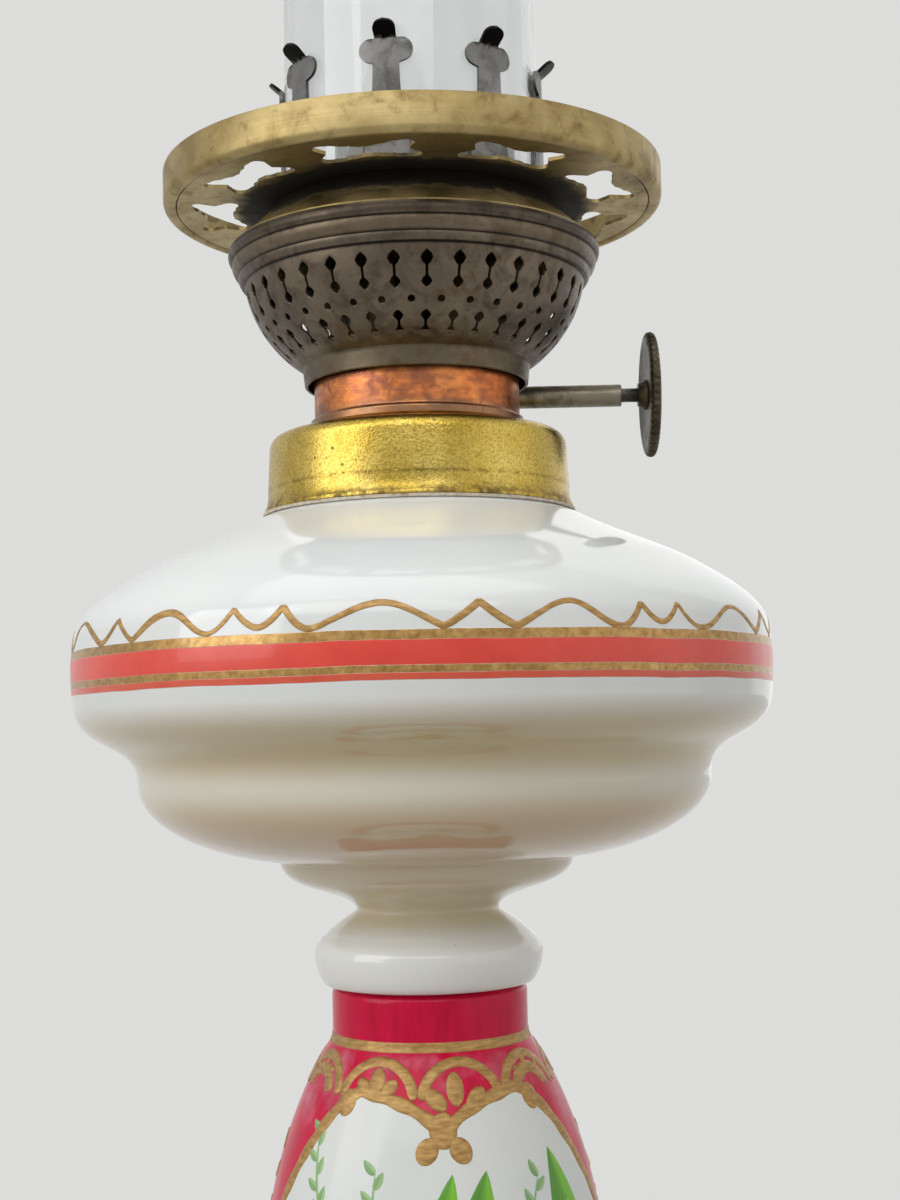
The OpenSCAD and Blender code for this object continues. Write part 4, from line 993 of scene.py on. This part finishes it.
# four-lobed hole: arcs of circles, one quarter walked clockwise from the waist round the tip to the notch
# of its end, then mirrored, spaced evenly and rounded by a weighted mean of five points
def lobedHole(rounds):
    (endX, endY), endR = rounds[2]
    top, notch = [0, rounds[0][1]], [endX + math.sqrt(endR ** 2 - endY ** 2), 0]
    pairs = zip(rounds[:-1], rounds[1:])
    both = [sorted((meet(*p, *q), meet(*q, *p)), key=lambda v: v[1]) for p, q in pairs]
    joints = np.array([top, *(pair[1] for pair in both), both[-1][0], notch])
    quarter = []
    for (c, r), start, end, n in zip(rounds + rounds[2:3], joints[:-1], joints[1:], (6, 6, 6, 14, 5)):
        first, last = (math.atan2(v[1] - c[1], v[0] - c[0]) for v in (start, end))
        a = np.linspace(first, last, n, endpoint=False)
        quarter.append(np.array(c) + r * np.stack([np.cos(a), np.sin(a)], -1))
    quarter = np.concatenate(quarter)
    half = np.concatenate([quarter, [notch], quarter[:0:-1] * [1, -1]])
    whole = np.concatenate([half, quarter[:1] * [1, -1], half[:0:-1] * [-1, 1]])
    even = evenLoop(whole, 160)[1]
    return sum(w * np.roll(even, k, 0) for k, w in zip(range(-2, 3), (1, 2, 3, 2, 1))) / 9


# plate: the flat ring between two circles less its holes, cut into triangles, above and below, with a
# wall along each edge
def galleryPlate(g):
    def circle(r, n):
        a = np.arange(n) * 2 * np.pi / n
        return r * np.stack([np.cos(a), np.sin(a)], -1)

    loops = [circle(g["plateOut"], 192), circle(g["plateIn"], 128)[::-1]]
    hole = lobedHole(g["holeArcs"]) + [0, g["holeR"]]
    for k in range(g["holes"]):
        a = math.radians(g["holeTurn"] + k * 360 / g["holes"])
        loops.append(hole @ np.array([[math.cos(a), math.sin(a)], [math.sin(a), -math.cos(a)]]))
    for k in range(1, len(loops)):
        x, y = loops[k].T
        if np.sum(x * np.roll(y, -1) - y * np.roll(x, -1)) > 0:
            loops[k] = loops[k][::-1]
    flat = np.concatenate(loops)
    corners = [[Vector((x, y, 0)) for x, y in loop.tolist()] for loop in loops]
    triangles = np.array(tessellate_polygon(corners))
    a, b, c = (flat[triangles[:, k]] for k in range(3))
    turnedOver = (b[:, 0] - a[:, 0]) * (c[:, 1] - a[:, 1]) < (b[:, 1] - a[:, 1]) * (c[:, 0] - a[:, 0])
    triangles[turnedOver] = triangles[turnedOver][:, ::-1]
    count, walls, start = len(flat), [], 0
    for loop in loops:
        i = np.arange(len(loop)) + start
        j = np.roll(i, -1)
        walls += [np.stack([i + count, j + count, j], -1), np.stack([i + count, j, i], -1)]
        start += len(loop)
    levels = (g["plateZ"] + g["t"], g["plateZ"])
    points = np.concatenate([np.column_stack([flat, np.full(count, level)]) for level in levels])
    return points, np.vstack([triangles, triangles[:, ::-1] + count, *walls])


# prong: strip bent round the chimney, its half width a function of height: flared foot, neck, round
# lobes, leaning tip
def prongShells(g):
    top, lobeZ = g["prongH"], g["prongH"] - g["lobeR"]
    z = np.concatenate([np.linspace(0.3, 20, 18), np.linspace(20.6, top - 0.1, 24)])
    flare = g["neckHalf"] + g["flare"] * np.clip(1 - z / 22, 0, 1) ** 2
    lobeHalf = g["lobeX"] + np.sqrt(np.clip(g["lobeR"] ** 2 - (z - lobeZ) ** 2, 0, None))
    half = np.where(np.abs(z - lobeZ) < g["lobeR"], np.maximum(flare, lobeHalf), flare)
    bend = np.linspace(0, 1, 5)[1:] * math.radians(g["lean"])
    tip = np.linspace(0.15, 1, 12)
    out, over = g["bendR"] * (1 - np.cos(bend)), top + g["bendR"] * np.sin(bend)
    r = np.concatenate([0 * z, out, out[-1] + g["tipL"] * math.sin(bend[-1]) * tip])
    up = np.concatenate([z, over, over[-1] + g["tipL"] * math.cos(bend[-1]) * tip])
    lean = np.concatenate([0 * z, bend, np.full(len(tip), bend[-1])])[:, None]
    rounded = np.sqrt(np.clip(1 - np.clip((tip - 0.5) / 0.5, 0, 1) ** 2, 0.0004, 1))
    half = np.concatenate([half, np.full(4, g["tipHalf"]), g["tipHalf"] * rounded])
    across = np.linspace(-1, 1, 9)
    side = np.repeat([g["t"], 0.0], 9)
    angle = half[:, None] * np.concatenate([across, across[::-1]]) / g["prongR"]
    radius = g["prongR"] + r[:, None] + side * np.cos(lean)
    points, faces = loft(around(radius, angle, g["plateZ"] + up[:, None] - side * np.sin(lean)))
    shells = []
    for k in range(g["prongs"]):
        a = math.radians(g["turn"] + k * 360 / g["prongs"])
        turnTo = np.array([[math.cos(a), math.sin(a), 0], [-math.sin(a), math.cos(a), 0], [0, 0, 1]])
        shells.append((points @ turnTo, faces))
    return joined(*shells)


def galleryRim(g):
    r, z, t, top = g["rimR"], g["plateZ"], g["t"], g["rimTop"]
    return outline(
        (r - 2.8, z), (r - 2.6, z), ((r - 2.45, z - 0.05), (r - 2.4, z - 0.35), (r - 2.2, z - 0.4), 4),
        (r - 1.6, z - 0.4), arc((r - 1.6, z + 1.2), 1.6, -90, 0, 12), (r, top - 0.3),
        (r - 0.08, top - 0.08), (r - 0.3, top), (r - 0.6, top - 0.05), (r - t, top - 0.2),
        (r - t, z + 1.3), ((r - t, z + 0.9), (r - 0.9, z + t), (r - 1.3, z + t), 5), (r - 2.8, z + t))


# heat-greyed brass of the prongs, black on the bent tips: soot together with painted shade on their
# undersides
def greyFinish():
    f = metalFinish("heat_greyed_brass", (96, 95, 93), (130, 129, 126), (64, 61, 58), rough=(0.4, 0.56),
                    tarnishShare=(0.5, 0.72), grain=0.00003, lines=0.0, metallic=0.9)
    # black tips: soot and painted shade on the bent-out undersides
    tipSootAndShade = f.span(f.plus(f.z, f.cloud(700, 3, 0.3, 0.7, -0.0006, 0.0006)), 0.3414, 0.3424)
    return f.set(Base_Color=f.mix(tipSootAndShade, f.colour, (20, 18, 17)))


makePiece("gallery_plate", galleryPlate(gallery), brassAged, "burner", ["gallery"],
          sharp=32)
makePiece("gallery_rim", turned(galleryRim(gallery)), brassAged, "burner", ["gallery"],
          sharp=32)
makePiece("gallery_prongs", prongShells(gallery), greyFinish(), "burner", ["gallery"],
          sharp=40)
print("burner done")

drive = {"y": 16.388, "z": 278.35, "bore": 1.55, "sleeveR": 2.4, "sleeveX": 7.0, "sleeveL": 37.0,
         "spindleR": 1.5, "spindleX": -7.3, "spindleL": 59.3, "wheelX": 50.3, "wheelR": 13.5,
         "wheelT": 2.4, "ribs": 56, "rib": 0.25, "hubR": 3.25, "hubIn": 1.4, "web": 0.9, "rimW": 2.2,
         "toothR": 3.2, "rootR": 2.3, "toothT": 1.0, "teeth": 9, "toothX": 4.0}


# laid along the spindle: the shape's own axis turned to x
def onSpindle(shell, x):
    p, faces = shell
    return np.stack([p[:, 2] + x, p[:, 1] + drive["y"], drive["z"] - p[:, 0]], -1), faces


# thumb wheel: turned section whose rim points are drawn in by rib * (1 - cos(ribs a)) / 2
def wheelShell(d):
    half, r, hub, web = d["wheelT"] / 2, d["wheelR"], d["hubR"], d["web"] / 2
    rim = r - d["rimW"]

    def face(s):
        return outline((hub, s * half), (hub, s * (web + 0.3)),
                       ((hub + 1.5, s * web), (rim - 2.5, s * web), (rim, s * half), 14))

    section = outline(
        (d["bore"], -half - d["hubIn"]), (hub - 0.75, -half - d["hubIn"]), (hub, -half + 0.02),
        face(-1)[1:], ((r - 0.6, -half), (r, -half * 0.7), (r, 0), 8),
        ((r, half * 0.7), (r - 0.6, half), (rim, half), 8), face(1)[::-1][1:], (d["bore"], half))
    segments = d["ribs"] * 6
    points, faces = turned(section, segments)
    a = np.tile(np.arange(segments) * 2 * np.pi / segments, len(section))
    radius = np.repeat(section[:, 0], segments)
    depth = np.clip((radius - rim - 0.5) / 1.2, 0,
                    1) * d["rib"] * 1.2 * (0.5 - 0.5 * np.cos(d["ribs"] * a)) ** 0.7
    points[:, :2] *= ((radius - depth) / radius)[:, None]
    return points, faces


def sleeveShell(d):
    r, end = d["sleeveR"], d["sleeveL"]
    section = outline((d["bore"], 0), (r - 0.1, 0), (r, 0.1), (r, end - 0.1), (r - 0.1, end),
                      (d["bore"], end))
    return turned(section, 48)


def spindleShell(d):
    r, end = d["spindleR"], d["spindleL"]
    return turned(outline((0, 0), (r - 0.2, 0), (r, 0.2), (r, end - 0.3), (r - 0.15, end), (0, end)), 40,
                  closed=False)


# sprocket: bored disc with its rim pushed in between the points
def sprocketShell(d):
    a = np.arange(d["teeth"] * 2) * math.pi / d["teeth"]
    rim, half = np.where(np.arange(len(a)) % 2 == 0, d["toothR"], d["rootR"]), d["toothT"] / 2
    rows = ((d["bore"], -half), (rim - 0.05, -half), (rim, 0.05 - half), (rim, half - 0.05),
            (rim - 0.05, half), (d["bore"], half))
    return np.concatenate([around(r, a, z) for r, z in rows]), gridQuads(len(rows), len(a), wrapRows=True)


wheelBronze = metalFinish("wheel_bronze", (64, 56, 43), (92, 82, 64), (37, 32, 24), rough=(0.36, 0.52),
                          tarnishShare=(0.45, 0.68), grain=0.00003, lines=0.2, metallic=0.9)
dullBrass = metalFinish("sleeve_brass", (126, 119, 104), (156, 149, 132), (76, 69, 60), rough=(0.34, 0.5),
                        tarnishShare=(0.48, 0.68), grain=0.00003)
steel = metalFinish("spindle_steel", (96, 92, 86), (132, 128, 120), (62, 54, 46), rough=(0.3, 0.45))
sleeve, spindle, wheel = (onSpindle(make(drive), drive[x]) for make, x in (
    (sleeveShell, "sleeveX"), (spindleShell, "spindleX"), (wheelShell, "wheelX")))
sprockets = joined(*[onSpindle(sprocketShell(drive), side * drive["toothX"]) for side in (-1, 1)])
makePiece("sleeve_tube", sleeve, dullBrass, "burner", ["spindle_sleeve"])
makePiece("spindle_rod", spindle, steel, "wick_spindle", ["spindle"])
makePiece("thumb_wheel_disc", wheel, wheelBronze, "wick_spindle", ["thumb_wheel"],
          sharp=45)
makePiece("sprocket_pair", sprockets, burnerBrass, "wick_spindle", ["sprockets"],
          sharp=30)
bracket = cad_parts["spindle_bracket"].data
bracket.materials.clear()
bracket.materials.append(burnerBrass.material)
print("wick drive done")

wick = {"r": 12.25, "t": 2.5, "top": 327.6, "low": 195.5, "relax": 257.7, "close": 310.6, "closed": 325.6,
        "spread": 4.0, "open": 27.04, "seam": 2.0, "slack": 40.0, "sway": 0.55, "ribs": 30, "rib": 0.09,
        "around": 77}


# ease: 3t^2 - 2t^3 from 0 to 1
def ease(t):
    t = np.clip(t, 0, 1)
    return t * t * (3 - 2 * t)


# wick: a curtain of cloth rolled to an open tube, r + spread * ease below the tubes, its gap closing to a
# seam at the top
def wickShell(w):
    z = np.concatenate([np.linspace(w["low"], w["relax"], 60), np.linspace(w["relax"], w["top"], 71)[1:]])
    r = w["r"] + w["spread"] * ease((w["relax"] - z) / (w["relax"] - w["low"]))
    gap = w["open"] + (w["seam"] - w["open"]) * ease((z - w["close"]) / (w["closed"] - w["close"]))
    half = np.where(z > w["relax"], 180 - gap, (180 - w["open"]) * w["r"] / r)
    z, r, half = z[:, None], r[:, None], half[:, None]
    t = np.linspace(-1, 1, 121)
    a = np.radians(180 + half * t)
    sway = ease((w["relax"] - z) / w["slack"]) * w["sway"] * np.sin(5 * a + z * 0.05)
    thick = w["t"] / 2 - 0.1 + w["rib"] * np.abs(np.sin(np.pi * w["ribs"] * (t + 1) / 2))
    rows = np.concatenate([around(r + thick + sway, a, z), around(r - thick + sway, a, z)[:, ::-1]], 1)
    m, n = rows.shape[:2]
    j = np.arange(n // 2 - 1)
    end = np.stack([j, n - 1 - j, n - 2 - j, j + 1], -1)
    faces = np.vstack([gridQuads(m, n), end, end[:, ::-1] + (m - 1) * n])
    u = np.concatenate([t, t[::-1]]) * 0.5 + 0.5
    uv = np.stack(np.broadcast_arrays(u[None] * w["around"], z), -1).reshape(-1, 2)[faces]
    return (rows.reshape(-1, 3), faces), uv


# cotton: crossed waves along the cloth's own two ways, charred at the lit edge
def cottonFinish():
    f = Finish("wick_cotton")
    u, v = f.ownUv()[1:]
    warp = f.math("ABSOLUTE", f.math("SINE", f.times(u, 4.9)))
    step = f.times(f.math("FLOOR", f.times(u, 1.56)), 1.57)
    weft = f.math("ABSOLUTE", f.math("SINE", f.plus(f.times(v, 3.9), step)))
    weave = f.times(f.math("POWER", warp, 0.6), f.plus(f.times(weft, 0.6), 0.4))
    fuzz = f.noise(2600, 4, 0.7)
    colour = f.mix(f.span(weave, 0.1, 0.8), (168, 152, 122), (226, 216, 194))
    colour = f.mix(f.cloud(140, 4, 0.45, 0.7, 0.0, 0.5), colour, (196, 178, 140))
    char = f.span(f.plus(f.z, f.times(f.noise(500, 3), 0.0025)), 0.3255, 0.3285)
    colour = f.mix(char, colour, (34, 30, 27))
    height = f.plus(weave, f.times(fuzz, 0.5))
    f.set(Base_Color=colour, Roughness=f.span(fuzz, 0.3, 0.7, 0.82, 0.98), Normal=f.bump(height, 0.0003))
    return f.set(Sheen_Weight=0.3, Sheen_Roughness=0.5)


shell, uv = wickShell(wick)
cloth = makePiece("wick_cloth", shell, cottonFinish(), "wick", ["wick"], uv=uv, sharp=70)
print("wick done")

chimney = {"z": 315.2, "h": 250.0, "r": 26.5, "tubeR": 18.5, "draw": 0.6, "wall": 1.6, "baseH": 58.0}


# chimney: base cylinder, shoulder and drawn tube, with close pairs of points that keep the long walls'
# shading straight
def chimneyProfile(c):
    r, tube, w, z, low = c["r"], c["tubeR"], c["wall"], c["z"], c["z"] + c["baseH"]
    top, lip, end = c["z"] + c["h"], c["wall"] / 2, c["tubeR"] - c["draw"]
    outside = outline(
        (r - 0.5, z), (r - 0.15, z + 0.12), (r, z + 0.5), (r, z + 0.9), (r, low - 0.4), (r, low),
        ((r, low + 9), (tube + 0.5, low + 6), (tube, low + 16), 28), (tube, low + 16.5),
        (end, top - lip - 0.5), (end, top - lip))
    r, tube, end = r - w, tube - w, end - w
    inside = outline(
        (r + 0.4, z), (r, z + 0.4), (r, z + 0.9), (r, low - 1.0), (r, low - 0.6),
        ((r, low + 7.4), (tube + 0.5, low + 5.4), (tube, low + 16), 28), (tube, low + 16.5),
        (end, top - lip - 0.5), (end, top - lip))
    return outline(outside, arc((end + lip, top - lip), lip, 0, 180, 10)[:-1], inside[::-1])


def glassFinish():
    f = Finish("clear_glass")
    film = f.noise(60, 5, 0.6, f.stretched(1, 1, 0.35))
    rough = f.plus(f.span(film, 0.45, 0.75, 0.015, 0.12), f.cloud(900, 4, 0.6, 0.8, 0.0, 0.04, rough=0.7))
    f.set(Base_Color=f.mix(f.span(film, 0.35, 0.75), (253, 254, 254), (240, 244, 244)), Roughness=rough)
    return f.set(Transmission_Weight=0.95, IOR=1.5,
                 Normal=f.bump(f.noise(28, 2, 0.4, f.stretched(1, 1, 0.5)), 0.0003))


makePiece("chimney_glass", turned(chimneyProfile(chimney), 160), glassFinish(), "chimney", ["chimney"],
          sharp=50)
print("chimney done")

# lamps are (place, target, size, watts, colour)
stage = {"lens": 54.0, "place": (0.0059, -0.3702, 0.205), "pitch": 4.384, "roll": 1.3,
         "floor": (0.74, 0.735, 0.72, 1.0), "stain": (0.74, 0.73, 0.71, 1.0),
         "bounce": (0.3, 0.28, 0.25, 1.0), "sky": (0.72, 0.72, 0.72 * 0.99, 1.0),
         "ramp": ((0.42, (0.22, 0.22, 0.23, 1.0)), (1.0, (0.5, 0.515, 0.53, 1.0))),
         "lamps": {"overhead": ((-0.15, -0.25, 1.45), (0, 0, 0.25), (1.4, 1.1), 4.5),
                   "front_high": ((-0.3, -1.2, 1.2), (0, 0, 0.2), (2.0, 0.7), 7.9),
                   "front_left": ((-1.3, -0.7, 0.75), (0, 0, 0.27), (1.0, 1.0), 8.0),
                   "right": ((1.2, -0.5, 0.6), (0, 0, 0.27), (1.5, 1.4), 2.7, (1.0, 0.97, 0.93)),
                   "behind": ((0.5, 1.2, 0.9), (0, 0, 0.35), (1.7, 1.7), 3.4)}}


def standAt(name, data, axes, place):
    obj = bpy.data.objects.new(name, data)
    scene.collection.objects.link(obj)
    turnTo = Matrix(axes).transposed().to_4x4()
    turnTo.translation = place
    obj.matrix_world = turnTo
    return obj


def makeCamera(s):
    data = bpy.data.cameras.new("photo_camera")
    data.lens, data.sensor_width, data.sensor_fit, data.clip_start = s["lens"], 36.0, "AUTO", 0.01
    p, q = math.radians(s["pitch"]), math.radians(s["roll"])
    right = (math.cos(q), math.sin(q) * math.sin(p), -math.sin(q) * math.cos(p))
    up = (math.sin(q), -math.cos(q) * math.sin(p), math.cos(q) * math.cos(p))
    back = (0.0, -math.cos(p), -math.sin(p))
    scene.camera = standAt("photo_camera", data, (right, up, back), s["place"])


def makeLamp(name, place, target, size, power, colour=(1, 1, 1)):
    data = bpy.data.lights.new(name, "AREA")
    data.shape, data.size, data.size_y, data.energy, data.color = "RECTANGLE", *size, power, colour
    back = np.array(place, float) - np.array(target, float)
    back /= np.linalg.norm(back)
    side = np.cross((0, 0, 1), back)
    side /= np.linalg.norm(side)
    standAt(name, data, (side, np.cross(back, side), back), place).visible_transmission = False


# world: a grey ramp by height for the light it gives, an even backdrop where it is seen
def makeWorld(s):
    scene.world = bpy.data.worlds.new("studio")
    scene.world.use_nodes = True
    f = Nodes(scene.world.node_tree)
    f.tree.nodes.clear()
    place = f.add("ShaderNodeTexCoord").outputs["Generated"]
    up = f.add("ShaderNodeSeparateXYZ", {0: place}).outputs[2]
    ramp = f.add("ShaderNodeValToRGB", {0: f.math("MULTIPLY_ADD", up, 0.5, 0.5)})
    for stop, (position, tone) in zip(ramp.color_ramp.elements, s["ramp"]):
        stop.position, stop.color = position, tone
    tones = ramp.outputs[0], s["sky"]
    light, seen = (f.add("ShaderNodeBackground", {0: tone}).outputs[0] for tone in tones)
    choose = f.add("ShaderNodeMixShader", {0: f.seenRays(), 1: light, 2: seen})
    f.add("ShaderNodeOutputWorld", {0: choose.outputs[0]})


# floor: matt and shaded near the lamp, fading with distance to the backdrop's own brightness
def makeFloor(s):
    f = Finish("studio_floor")
    seen = f.seenRays()
    pale = f.mix(f.cloud(6, 4, 0.3, 0.7, 0.0, 0.25), s["floor"], s["stain"])
    f.set(Base_Color=f.mix(seen, s["bounce"], pale), Roughness=f.cloud(40, 4, 0.3, 0.7, 0.6, 0.75))
    f.set(Normal=f.bump(f.noise(300, 3), 0.0002))
    away = f.add("ShaderNodeSeparateXYZ", {0: f.rings()}).outputs[0]
    share = f.times(seen, f.span(away, 0.16, 0.5, 0.0, 1.0, True))
    glow = f.add("ShaderNodeEmission", {0: s["sky"], 1: 1.0})
    both = f.add("ShaderNodeMixShader", {0: share, 1: f.shader.outputs[0], 2: glow.outputs[0]})
    f.feed(f.tree.nodes["Material Output"].inputs[0], both.outputs[0])
    points, faces = turned(outline((0, 0), (200, 0), (600, 0), (1500, 0), (6000, 0)), 96, closed=False)
    mesh = bpy.data.meshes.new("floor")
    mesh.from_pydata((points * mm).tolist(), [], faces[:, ::-1].tolist())
    mesh.validate()
    mesh.materials.append(f.material)
    obj = bpy.data.objects.new("floor", mesh)
    scene.collection.objects.link(obj)


makeCamera(stage)
makeWorld(stage)
makeFloor(stage)
for name, lamp in stage["lamps"].items():
    makeLamp(name, *lamp)
print("stage done")
